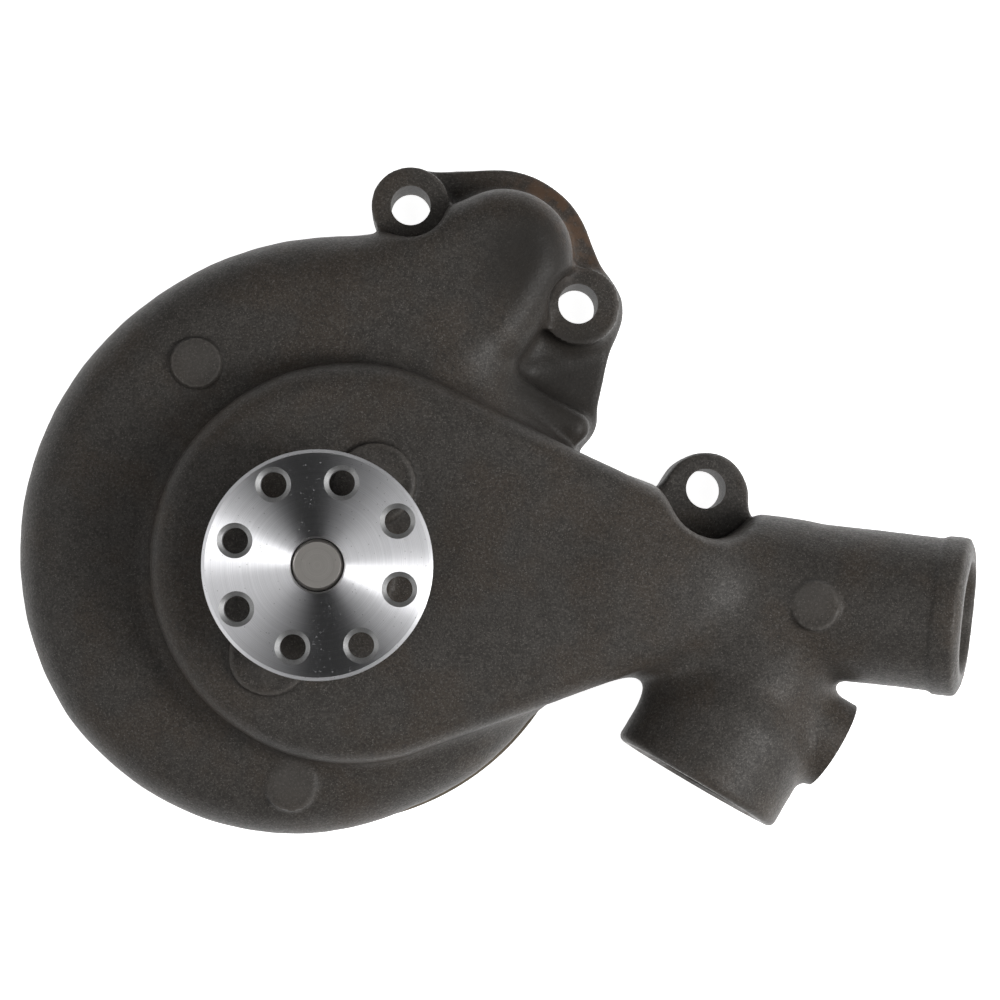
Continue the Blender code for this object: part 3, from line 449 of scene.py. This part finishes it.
def lathe(name, profile, at=(0.0, 0.0, 0.0), aim=(0.0, 0.0, 1.0), steps=96):
    """A body of revolution from (radius, height) points in mm, closed on its axis or round a bore."""
    bm = bmesh.new()
    loops = []
    for radius, height in profile:
        if radius <= 0.0:
            loops.append([bm.verts.new((0.0, 0.0, height * MM))])
            continue
        reach = radius * MM
        turns = [math.tau * i / steps for i in range(steps)]
        ring = [(reach * math.cos(t), reach * math.sin(t), height * MM) for t in turns]
        loops.append([bm.verts.new(point) for point in ring])
    for lower, upper in zip(loops, loops[1:] + loops[:1]):
        if len(lower) == 1 and len(upper) == 1:
            continue
        for i in range(steps):
            j = (i + 1) % steps
            if len(lower) == 1:
                bm.faces.new((lower[0], upper[j], upper[i]))
            elif len(upper) == 1:
                bm.faces.new((lower[i], lower[j], upper[0]))
            else:
                bm.faces.new((lower[i], lower[j], upper[j], upper[i]))
    bmesh.ops.recalc_face_normals(bm, faces=bm.faces)
    mesh = bpy.data.meshes.new(name)
    bm.to_mesh(mesh)
    bm.free()
    turn = Vector((0.0, 0.0, 1.0)).rotation_difference(Vector(aim)).to_matrix().to_4x4()
    mesh.transform(Matrix.Translation(Vector(at) * MM) @ turn)
    return new_object(name, mesh)


def plug(radius, back, front, at=(0.0, 0.0, 0.0), aim=(0.0, 0.0, 1.0), steps=96):
    return lathe("cutter", ((0.0, back), (radius, back), (radius, front), (0.0, front)), at, aim, steps)


def cut_all(piece, cutters, rough_cutters=()):
    """Takes the cutters away from a piece. The faces that rough cutters leave keep the cast skin."""
    for cutter in (*cutters, *rough_cutters):
        for face in cutter.data.polygons:
            face.material_index = 1 if cutter in cutters else 0
        for material in piece.data.materials:
            cutter.data.materials.append(material)
        change = piece.modifiers.new("cut", "BOOLEAN")
        change.operation = "DIFFERENCE"
        change.solver = "MANIFOLD"
        change.object = cutter
    bpy.context.view_layer.update()
    reached = piece.evaluated_get(bpy.context.evaluated_depsgraph_get())
    mesh = bpy.data.meshes.new_from_object(reached)
    piece.modifiers.clear()
    piece.data = mesh
    for cutter in (*cutters, *rough_cutters):
        bpy.data.objects.remove(cutter)


def smooth(piece, angle):
    piece.data.shade_smooth()
    piece.data.set_sharp_from_angle(angle=math.radians(angle))


# ---------------------------------------------------------------- materials


class Finish:
    """A procedural material that is put together node by node."""

    def __init__(self, name):
        self.material = bpy.data.materials.new(name)
        self.material.use_nodes = True
        self.tree = self.material.node_tree
        self.shader = self.tree.nodes["Principled BSDF"]
        self.place = self.node("ShaderNodeTexCoord").outputs["Object"]

    def node(self, kind, **settings):
        made = self.tree.nodes.new(kind)
        for key, value in settings.items():
            setattr(made, key, value)
        return made

    def link(self, out, into):
        self.tree.links.new(out, into)

    def stretch(self, sizes):
        mapping = self.node("ShaderNodeMapping")
        mapping.inputs["Scale"].default_value = sizes
        self.link(self.place, mapping.inputs["Vector"])
        return mapping.outputs["Vector"]

    def noise(self, grain_mm, detail=2.0, rough=0.5, place=None):
        made = self.node("ShaderNodeTexNoise")
        made.inputs["Scale"].default_value = 1.0 / (grain_mm * MM)
        made.inputs["Detail"].default_value = detail
        made.inputs["Roughness"].default_value = rough
        self.link(place or self.place, made.inputs["Vector"])
        return made.outputs["Fac"]

    def spots(self, spacing_mm):
        made = self.node("ShaderNodeTexVoronoi")
        made.inputs["Scale"].default_value = 1.0 / (spacing_mm * MM)
        self.link(self.place, made.inputs["Vector"])
        return made.outputs["Distance"]

    def band(self, value, low, high, out_low=0.0, out_high=1.0):
        made = self.node("ShaderNodeMapRange", interpolation_type="SMOOTHSTEP")
        sockets = ("From Min", "From Max", "To Min", "To Max")
        for socket, number in zip(sockets, (low, high, out_low, out_high)):
            made.inputs[socket].default_value = number
        self.link(value, made.inputs["Value"])
        return made.outputs["Result"]

    def math(self, operation, a, b):
        made = self.node("ShaderNodeMath", operation=operation)
        for socket, value in zip(made.inputs, (a, b)):
            if isinstance(value, (int, float)):
                socket.default_value = value
            else:
                self.link(value, socket)
        return made.outputs[0]

    def mix(self, share, a, b):
        made = self.node("ShaderNodeMix", data_type="RGBA")
        for socket, value in ((made.inputs[0], share), (made.inputs[6], a), (made.inputs[7], b)):
            if isinstance(value, tuple):
                socket.default_value = (*value, 1.0)
            elif isinstance(value, (int, float)):
                socket.default_value = value
            else:
                self.link(value, socket)
        return made.outputs[2]

    def bump(self, height, depth_mm, strength=1.0, under=None):
        made = self.node("ShaderNodeBump")
        made.inputs["Strength"].default_value = strength
        made.inputs["Distance"].default_value = depth_mm * MM
        self.link(height, made.inputs["Height"])
        if under is not None:
            self.link(under, made.inputs["Normal"])
        return made.outputs["Normal"]

    def near(self, at, reach, share=1.0):
        """A soft round patch about one place, in metres."""
        away = self.node("ShaderNodeVectorMath", operation="DISTANCE")
        self.link(self.place, away.inputs[0])
        away.inputs[1].default_value = at
        return self.band(away.outputs["Value"], reach, 0.3 * reach, 0.0, share)

    def set(self, **sockets):
        for key, value in sockets.items():
            socket = self.shader.inputs[key.replace("_", " ")]
            if isinstance(value, tuple):
                socket.default_value = (*value, 1.0)
            elif isinstance(value, (int, float)):
                socket.default_value = value
            else:
                self.link(value, socket)
        return self.material


NIPPLE_PAD_CREST = NIPPLE_ROOT + NIPPLE_AIM * NIPPLE_PAD[0] + NIPPLE_UP * (NIPPLE_R + NIPPLE_PAD[3])
# Pad tops lightened: partly rubbed wear, partly a painted highlight.
PAD_WEAR_AND_HIGHLIGHT_PLACES = [tuple(MM * np.array((x, y, top))) for x, y, _, top in PADS]
PAD_WEAR_AND_HIGHLIGHT_PLACES.append(tuple(MM * NIPPLE_PAD_CREST))
PAD_WEAR_AND_HIGHLIGHT_REACH = 0.0105
# Painted shade: two recessed places, beside the duct and on the web, darkened where shade falls.
RECESS_SHADE_PLACES = (((0.072, 0.100, 0.040), 0.030), ((0.080, 0.060, 0.022), 0.032))


def cast_iron(name, tone, rust, rust_at, rust_reach):
    """Sand-cast iron under a thin oiled scale: a crisp grain with painted sparkle, painted highlights
    on its edges and pad tops (partly rubbed wear), painted shade in its creases and two recesses, and
    rust at one place.
    """
    f = Finish(name)

    def shade(share):
        return tuple(share * c for c in tone)

    brown = (1.12 * tone[0], 0.98 * tone[1], 0.86 * tone[2])
    broad = f.noise(24.0, 3.0, 0.55)
    patch = f.noise(4.5, 4.0, 0.6)
    coarse = f.noise(1.7, 2.0, 0.6)
    grain = f.noise(0.8, 2.0, 0.65)
    speck = f.noise(0.42, 0.0, 0.5)
    base = f.mix(f.band(patch, 0.34, 0.66), shade(0.88), shade(1.12))
    base = f.mix(f.band(broad, 0.42, 0.62, 0.0, 0.7), base, brown)
    base = f.mix(f.band(grain, 0.48, 0.32, 0.0, 0.8), base, shade(0.60))
    base = f.mix(f.band(grain, 0.52, 0.68, 0.0, 0.8), base, shade(1.65))
    base = f.mix(f.band(coarse, 0.45, 0.30, 0.0, 0.6), base, shade(0.66))
    # Bright specks painted in as sparkle, standing in for glints on the grain.
    base = f.mix(f.band(speck, 0.68, 0.80, 0.0, 0.7), base, shade(2.8))
    # Painted highlight on convex edges, partly edge wear, and painted shade in creases, both from the
    # mesh's pointiness.
    edge = f.node("ShaderNodeNewGeometry").outputs["Pointiness"]
    base = f.mix(f.band(edge, 0.512, 0.57, 0.0, 0.6), base, shade(2.4))
    base = f.mix(f.band(edge, 0.490, 0.44, 0.0, 0.75), base, shade(0.32))
    # Painted shade at the two recessed places.
    for at, reach in RECESS_SHADE_PLACES:
        base = f.mix(f.near(at, reach, 0.85), base, shade(0.55))
    # Pad tops lightened: partly rubbed wear, partly a painted highlight.
    for at in PAD_WEAR_AND_HIGHLIGHT_PLACES:
        base = f.mix(f.near(at, PAD_WEAR_AND_HIGHLIGHT_REACH, 0.45), base, shade(1.75))
    rusty = f.math("MULTIPLY", f.near(rust_at, rust_reach), f.band(patch, 0.40, 0.62, 0.15, 0.8))
    base = f.mix(rusty, base, rust)
    relief = f.bump(f.noise(2.4, 3.0, 0.6), 0.10)
    relief = f.bump(grain, 0.10, 1.0, relief)
    relief = f.bump(f.band(f.spots(3.1), 0.06, 0.24), 0.04, 0.6, relief)
    rough = f.band(grain, 0.3, 0.7, 0.52, 0.40)
    return f.set(Base_Color=base, Roughness=rough, Metallic=0.0, Specular_IOR_Level=0.13, Normal=relief)


def cut_iron(name):
    """Iron that a cutter has bared, with its feed marks and a light bloom."""
    f = Finish(name)
    marks = f.noise(0.55, 1.0, 0.5, f.stretch((0.12, 1.0, 1.0)))
    bloom = f.noise(7.0, 3.0, 0.6)
    base = f.mix(f.band(marks, 0.35, 0.65), (0.11, 0.105, 0.10), (0.17, 0.165, 0.16))
    base = f.mix(f.band(bloom, 0.45, 0.75, 0.0, 0.7), base, (0.085, 0.066, 0.052))
    relief = f.bump(marks, 0.03)
    rough = f.band(bloom, 0.3, 0.7, 0.38, 0.55)
    return f.set(Base_Color=base, Roughness=rough, Metallic=0.7, Normal=relief)


def turned_steel(name, pale, dark, ring_mm, rough=0.36, streak=1.0):
    """Steel turned about Z: fine rings, small nicks, and highlights drawn out across the rings."""
    f = Finish(name)
    split = f.node("ShaderNodeSeparateXYZ")
    f.link(f.place, split.inputs["Vector"])
    x_squared = f.math("POWER", split.outputs["X"], 2.0)
    y_squared = f.math("POWER", split.outputs["Y"], 2.0)
    join = f.node("ShaderNodeCombineXYZ")
    f.link(f.math("SQRT", f.math("ADD", x_squared, y_squared), 0.0), join.inputs["X"])
    f.link(split.outputs["Z"], join.inputs["Y"])
    rings = f.noise(ring_mm, 2.0, 0.6, join.outputs["Vector"])
    wide_rings = f.noise(ring_mm * 9.0, 1.0, 0.5, join.outputs["Vector"])
    nicks = f.band(f.spots(1.9), 0.13, 0.05)
    scuffs = f.band(f.noise(0.45, 1.0, 0.5), 0.68, 0.76)
    base = f.mix(f.band(rings, 0.3, 0.7), dark, pale)
    base = f.mix(f.band(wide_rings, 0.35, 0.7, 0.0, 0.35), base, pale)
    base = f.mix(f.math("MULTIPLY", nicks, 0.7), base, tuple(0.45 * c for c in dark))
    relief = f.bump(rings, 0.006)
    relief = f.bump(nicks, 0.025, 1.0, relief)
    relief = f.bump(scuffs, 0.01, 1.0, relief)
    tangent = f.node("ShaderNodeTangent", direction_type="RADIAL", axis="Z")
    f.link(tangent.outputs["Tangent"], f.shader.inputs["Tangent"])
    roughness = f.band(wide_rings, 0.3, 0.75, rough, rough + 0.04)
    quarter_turn = 0.25
    return f.set(
        Base_Color=base,
        Roughness=roughness,
        Metallic=1.0,
        Anisotropic=streak,
        Anisotropic_Rotation=quarter_turn,
        Normal=relief,
    )


def grained(name, first, second, grain_mm, rough, metal, depth_mm):
    """A plain material with a fine grain: two tones, small relief and uneven gloss."""
    f = Finish(name)
    grain = f.noise(grain_mm, 3.0, 0.6)
    broad = f.noise(grain_mm * 12.0, 2.0, 0.5)
    base = f.mix(f.band(grain, 0.32, 0.68), first, second)
    base = f.mix(f.band(broad, 0.45, 0.75, 0.0, 0.35), base, tuple(0.6 * c for c in first))
    relief = f.bump(grain, depth_mm)
    roughness = f.band(broad, 0.3, 0.7, rough, min(1.0, rough + 0.12))
    return f.set(Base_Color=base, Roughness=roughness, Metallic=metal, Normal=relief)


FLANGE_RIM = (0.080, 0.116, 0.008)
WHEEL_RIM = (0.050, 0.030, 0.010)
IRON_TONE = (0.0418, 0.0385, 0.0352)
WHEEL_TONE = (0.085, 0.078, 0.070)
TURNED_PALE = (0.745, 0.745, 0.765)
TURNED_DARK = (0.565, 0.565, 0.58)
GROUND_PALE = (0.49, 0.47, 0.445)
GROUND_DARK = (0.40, 0.38, 0.355)

FINISHES = {
    "cast_iron": cast_iron("cast_iron_skin", IRON_TONE, (0.085, 0.050, 0.030), FLANGE_RIM, 0.030),
    "impeller_iron": cast_iron("impeller_iron_skin", WHEEL_TONE, (0.12, 0.07, 0.04), WHEEL_RIM, 0.040),
    "turned_steel": turned_steel("turned_steel_bright", TURNED_PALE, TURNED_DARK, 0.16),
    "ground_steel": turned_steel("ground_steel_grey", GROUND_PALE, GROUND_DARK, 0.12, 0.36, 0.0),
}
GRAINED_SLOTS = (  # slot and kind, two tones, then grain in mm, roughness, metallic and depth in mm
    ("cover_steel", "sheet", (0.16, 0.155, 0.15), (0.24, 0.235, 0.23), 0.9, 0.36, 0.85, 0.03),
    ("gasket_paper", "sheet", (0.10, 0.085, 0.06), (0.17, 0.14, 0.10), 0.5, 0.75, 0.0, 0.05),
    ("bearing_steel", "ground", (0.50, 0.50, 0.51), (0.62, 0.62, 0.63), 0.3, 0.14, 1.0, 0.004),
    ("cage_plastic", "moulded", (0.30, 0.22, 0.12), (0.38, 0.29, 0.17), 0.6, 0.42, 0.0, 0.03),
    ("seal_rubber", "moulded", (0.012, 0.012, 0.013), (0.028, 0.028, 0.030), 0.5, 0.55, 0.0, 0.03),
    ("seal_brass", "pressed", (0.55, 0.38, 0.15), (0.70, 0.50, 0.22), 0.7, 0.27, 1.0, 0.01),
    ("spring_steel", "wire", (0.42, 0.42, 0.43), (0.55, 0.55, 0.56), 0.3, 0.22, 1.0, 0.008),
    ("carbon", "pressed", (0.018, 0.018, 0.020), (0.040, 0.040, 0.042), 0.35, 0.40, 0.0, 0.01),
    ("ceramic", "fired", (0.62, 0.58, 0.50), (0.74, 0.71, 0.64), 0.4, 0.24, 0.0, 0.005),
    ("screw_zinc", "plate", (0.42, 0.43, 0.44), (0.58, 0.58, 0.56), 0.5, 0.28, 1.0, 0.02),
)
for grained_slot, kind, first_tone, second_tone, *numbers in GRAINED_SLOTS:
    finish_name = "%s_%s" % (grained_slot, kind)
    FINISHES[grained_slot] = grained(finish_name, first_tone, second_tone, *numbers)
CUT_IRON = cut_iron("cut_iron_face")
SUNK_STEEL = grained("sunk_steel_cut", (0.48, 0.48, 0.48), (0.60, 0.60, 0.60), 0.35, 0.36, 1.0, 0.012)


# ---------------------------------------------------------------- the pieces

SOFT_SEAL_NODES = (  # node, slot, and z of the end that stays
    ("seal_bellows", "seal_rubber", 0.0249),
    ("seal_spring", "spring_steel", 0.0248),
)


def finish_piece(piece, body, slot_name, *nodes, angle=32.0):
    """Gives a piece its material if it has none, smooths it, and puts it in its nodes' place."""
    if not piece.data.materials:
        piece.data.materials.append(FINISHES[slot_name])
    smooth(piece, angle)
    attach(piece, body)
    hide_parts(*nodes)
    return piece


def make_housing():
    casting = casting_mesh()
    casting.data.materials.append(FINISHES["cast_iron"])
    casting.data.materials.append(CUT_IRON)
    floor_cut = ((0.0, -20.0), (400.0, -20.0), (400.0, 0.0), (0.0, 0.0))
    cutters = [lathe("cutter", floor_cut, steps=12)]
    cutters.append(plug(COVER_R + GAP, -1.0, COVER_SEAT_Z, steps=192))
    bores = (
        (0.0, 12.0),
        (SEAL_BORE_R, 12.0),
        (SEAL_BORE_R, SEAL_SHELF_Z),
        (SLINGER_ROOM_R, SEAL_SHELF_Z),
        (SLINGER_ROOM_R, BEARING_BACK),
        (BEARING_R + GAP, BEARING_BACK),
        (BEARING_R + GAP, NOSE_FRONT - 0.8),
        (BEARING_R + 1.1, NOSE_FRONT),
        (BEARING_R + 1.1, NOSE_FRONT + 9.0),
        (0.0, NOSE_FRONT + 9.0),
    )
    cutters.append(lathe("cutter", bores))
    cutters.append(plug(NOSE_R + 9.0, NOSE_FRONT, NOSE_FRONT + 8.0))
    rough = []
    for hole_at in EAR_HOLES:
        rough.append(plug(EAR_HOLE_R, -1.0, EAR_THICK + 1.0, (*hole_at, 0.0), steps=64))
    nipple_bore = (
        (0.0, -2.0),
        (NIPPLE_BORE_R + 0.4, -2.0),
        (NIPPLE_BORE_R, 12.0),
        (NIPPLE_BORE_R, NIPPLE_LENGTH - 1.2),
        (NIPPLE_BORE_R + 0.5, NIPPLE_LENGTH - 0.4),
        (NIPPLE_BORE_R + 2.0, NIPPLE_LENGTH + 1.0),
        (0.0, NIPPLE_LENGTH + 1.0),
    )
    rough.append(lathe("cutter", nipple_bore, NIPPLE_ROOT, NIPPLE_AIM))
    cutters.append(plug(PORT_R + 6.0, -0.2, 12.0, PORT_FACE, PORT_AIM))
    port_bore = (
        (0.0, -60.0),
        (18.0, -60.0),
        (18.0, -34.0),
        (PORT_BORE_R, -32.0),
        (PORT_BORE_R, -1.2),
        (PORT_BORE_R + 2.2, 1.0),
        (0.0, 1.0),
    )
    cutters.append(lathe("cutter", port_bore, PORT_FACE, PORT_AIM))
    cutters.append(plug(SMALL_PORT_R + 5.0, 0.0, 9.0, SMALL_PORT_FACE, SMALL_PORT_AIM, steps=64))
    cutters.append(plug(SMALL_PORT_BORE_R, -32.0, 1.0, SMALL_PORT_FACE, SMALL_PORT_AIM, steps=64))
    cutters.append(plug(OUTLET[2], -1.0, 16.0, (OUTLET[0], OUTLET[1], 0.0)))
    for x, y in round_about(SCREW_CIRCLE_R, 22.5, SCREW_COUNT):
        cutters.append(plug(SCREW_HOLE_R, 1.0, 12.0, (x, y, 0.0), steps=24))
    inner_r, inner_z = WEEP_INNER
    for x, y in WEEP_PLACES:
        inner_end = np.array((x * inner_r / WEEP_CIRCLE_R, y * inner_r / WEEP_CIRCLE_R, inner_z))
        drilling = np.array((WEEP_LEAN * x, WEEP_LEAN * y, WEEP_FRONT)) - inner_end
        cutters.append(plug(WEEP_R, 0.0, np.linalg.norm(drilling), inner_end, drilling, steps=24))
    cut_all(casting, cutters, rough)
    finish_piece(casting, "housing", "cast_iron", "pump_housing", angle=34.0)


def make_hub():
    profile = (
        (HUB_BORE_R, HUB_BOSS_BACK + 0.6),
        (HUB_BORE_R + 0.6, HUB_BOSS_BACK),
        (HUB_BOSS_R - 0.6, HUB_BOSS_BACK),
        (HUB_BOSS_R, HUB_BOSS_BACK + 0.6),
        (HUB_BOSS_R, HUB_BACK - 0.8),
        (HUB_BOSS_R + 0.8, HUB_BACK),
        (HUB_R - 0.6, HUB_BACK),
        (HUB_R, HUB_BACK + 0.6),
        (HUB_R, HUB_FRONT - 1.1),
        (HUB_R - 1.1, HUB_FRONT),
        (HUB_BORE_R + 0.49, HUB_FRONT),
        (HUB_BORE_R, HUB_FRONT - 1.2),
    )
    hub = lathe("hub_turned", profile, steps=240)
    hub.data.materials.append(FINISHES["turned_steel"])
    hub.data.materials.append(SUNK_STEEL)
    cutters = []
    for radius, first in HUB_CIRCLES:
        for x, y in round_about(radius, first, 4):
            hole = (
                (0.0, HUB_BACK - 1.0),
                (HUB_HOLE_R + 1.4, HUB_BACK - 1.0),
                (HUB_HOLE_R, HUB_BACK + 0.5),
                (HUB_HOLE_R, HUB_FRONT - (HUB_SINK_R - HUB_HOLE_R)),
                (HUB_SINK_R + 1.0, HUB_FRONT + 1.0),
                (0.0, HUB_FRONT + 1.0),
            )
            cutters.append(lathe("cutter", hole, (x, y, 0.0), steps=64))
    cut_all(hub, cutters)
    finish_piece(hub, "rotor", "turned_steel", "pulley_hub", angle=25.0)


def ball_groove(z):
    """The groove in the shaft that one row of balls runs in, from back to front."""
    reach = BALL_R + GAP
    half = math.acos((BALL_CIRCLE_R - SHAFT_R) / reach)
    turns = [math.pi + half * (1.0 - i / 6.0) for i in range(13)]
    return [(BALL_CIRCLE_R + reach * math.cos(t), z + reach * math.sin(t)) for t in turns]


def make_shaft():
    profile = [(0.0, SHAFT_BACK), (SHAFT_R - 0.9, SHAFT_BACK)]
    profile += [(SHAFT_R - 0.1, SHAFT_BACK + 0.8), (SHAFT_R, SHAFT_BACK + 1.2)]
    for z in BALL_ROWS:
        profile += ball_groove(z)
    profile += [(SHAFT_R, SHAFT_FRONT - 1.8), (SHAFT_R - 0.8, SHAFT_FRONT - 0.15)]
    profile += [(SHAFT_R - 0.95, SHAFT_FRONT), (0.0, SHAFT_FRONT)]
    shaft = lathe("shaft_ground", profile, steps=128)
    finish_piece(shaft, "rotor", "ground_steel", "pump_shaft", angle=40.0)


def make_cover():
    profile = (
        (0.0, 0.0),
        (COVER_R - 0.8, 0.0),
        (COVER_R - 0.2, 0.3),
        (COVER_R, 0.9),
        (COVER_R, COVER_THICK - 0.4),
        (COVER_R - 0.4, COVER_THICK),
        (0.0, COVER_THICK),
    )
    cover = lathe("cover_pressed", profile, steps=192)
    cover.data.materials.append(FINISHES["cover_steel"])
    cover.data.materials.append(FINISHES["cover_steel"])
    cutters = []
    for x, y in round_about(SCREW_CIRCLE_R, 22.5, SCREW_COUNT):
        seat = ((0.0, -1.0), (6.4, -1.0), (5.5, 0.0), (2.75, 2.9), (2.75, 4.5), (0.0, 4.5))
        cutters.append(lathe("cutter", seat, (x, y, 0.0), steps=48))
    cut_all(cover, cutters)
    finish_piece(cover, "housing", "cover_steel", "rear_cover", angle=30.0)


def make_screws():
    for i, (x, y) in enumerate(round_about(SCREW_CIRCLE_R, 22.5, SCREW_COUNT)):
        head = ((0.0, 0.2), (4.9, 0.2), (5.15, 0.5))
        shank = ((2.4, 3.15), (2.4, 10.9), (1.9, 11.4), (0.0, 11.4))
        screw = lathe("screw_plated_%d" % (i + 1), head + shank, (x, y, 0.0), steps=48)
        screw.data.materials.append(FINISHES["screw_zinc"])
        screw.data.materials.append(FINISHES["screw_zinc"])
        bm = bmesh.new()
        bmesh.ops.create_cube(bm, size=1.0)
        mesh = bpy.data.meshes.new("cutter")
        bm.to_mesh(mesh)
        bm.free()
        turn = Matrix.Rotation(math.radians(37.0 * i), 4, "Z")
        size = Matrix.Diagonal((12.0 * MM, 1.2 * MM, 2.4 * MM, 1.0))
        mesh.transform(Matrix.Translation((x * MM, y * MM, 0.1 * MM)) @ turn @ size)
        cut_all(screw, [new_object("cutter", mesh)])
        finish_piece(screw, "housing", "screw_zinc", "cover_screw_%d" % (i + 1), angle=30.0)


def make_soft_seal():
    """The bellows and the spring, each copied from its node as a piece of its own."""
    for node_name, slot_name, fixed_end in SOFT_SEAL_NODES:
        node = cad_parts[node_name]
        mesh = node.data.copy()
        mesh.transform(node.matrix_world)
        mesh.materials.clear()
        piece = finish_piece(new_object(node_name + "_soft", mesh), "housing", slot_name, node_name)
        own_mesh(piece)


make_housing()
make_hub()
make_shaft()
make_cover()
make_screws()
make_soft_seal()

for node_name, node_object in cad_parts.items():
    if node_object.hide_render:
        continue
    for material_slot in node_object.material_slots:
        known = [key for key in FINISHES if material_slot.material.name.startswith(key)]
        material_slot.material = FINISHES[known[0]]


# ---------------------------------------------------------------- floor, light and camera


def softbox(name, at, toward, size, power):
    data = bpy.data.lights.new(name, "AREA")
    data.shape = "RECTANGLE"
    data.size, data.size_y = size
    data.energy = power
    light = bpy.data.objects.new(name, data)
    bpy.context.scene.collection.objects.link(light)
    light.location = at
    light.rotation_mode = "QUATERNION"
    light.rotation_quaternion = (Vector(toward) - Vector(at)).to_track_quat("-Z", "Y")


def make_floor():
    mesh = bpy.data.meshes.new("floor")
    half, level = 4.0, -0.0004
    turns = ((-1, -1), (1, -1), (1, 1), (-1, 1))
    mesh.from_pydata([(half * x, half * y, level) for x, y in turns], [], [(0, 1, 2, 3)])
    floor = new_object("floor", mesh)
    f = Finish("floor_paper")
    tone = f.mix(f.band(f.noise(300.0, 2.0, 0.5), 0.3, 0.7), (0.93, 0.93, 0.93), (0.95, 0.95, 0.95))
    glow = f.set(Base_Color=tone, Roughness=0.9, Emission_Color=(1.0, 1.0, 1.0), Emission_Strength=0.95)
    floor.data.materials.append(glow)


def make_studio():
    middle = (0.03, 0.0, 0.06)
    softbox("left_softbox", (-0.72, -0.16, 0.76), middle, (1.3, 1.3), 6.2)
    softbox("right_softbox", (0.78, -0.06, 0.76), middle, (1.3, 1.3), 6.9)
    softbox("nipple_softbox", (0.62, -0.14, 0.62), (0.18, -0.04, 0.04), (0.3, 0.3), 4.8)
    world = bpy.data.worlds.new("studio")
    world.use_nodes = True
    world.node_tree.nodes["Background"].inputs["Color"].default_value = (1.0, 1.0, 1.0, 1.0)
    world.node_tree.nodes["Background"].inputs["Strength"].default_value = 0.03
    bpy.context.scene.world = world
    bpy.context.scene.view_settings.view_transform = "Standard"


def make_camera():
    data = bpy.data.cameras.new("camera")
    data.lens = CAMERA_LENS
    data.sensor_width = 36.0
    data.clip_start = 0.01
    data.clip_end = 20.0
    camera = bpy.data.objects.new("camera", data)
    bpy.context.scene.collection.objects.link(camera)
    back = -Vector(CAMERA_AIM).normalized()
    right = Vector((0.0, 1.0, 0.0)).cross(back).normalized()
    up = back.cross(right)
    turn = Matrix((right, up, back)).transposed().to_4x4()
    camera.matrix_world = Matrix.Translation(Vector(CAMERA_AT) * MM) @ turn
    bpy.context.scene.camera = camera


make_floor()
make_studio()
make_camera()
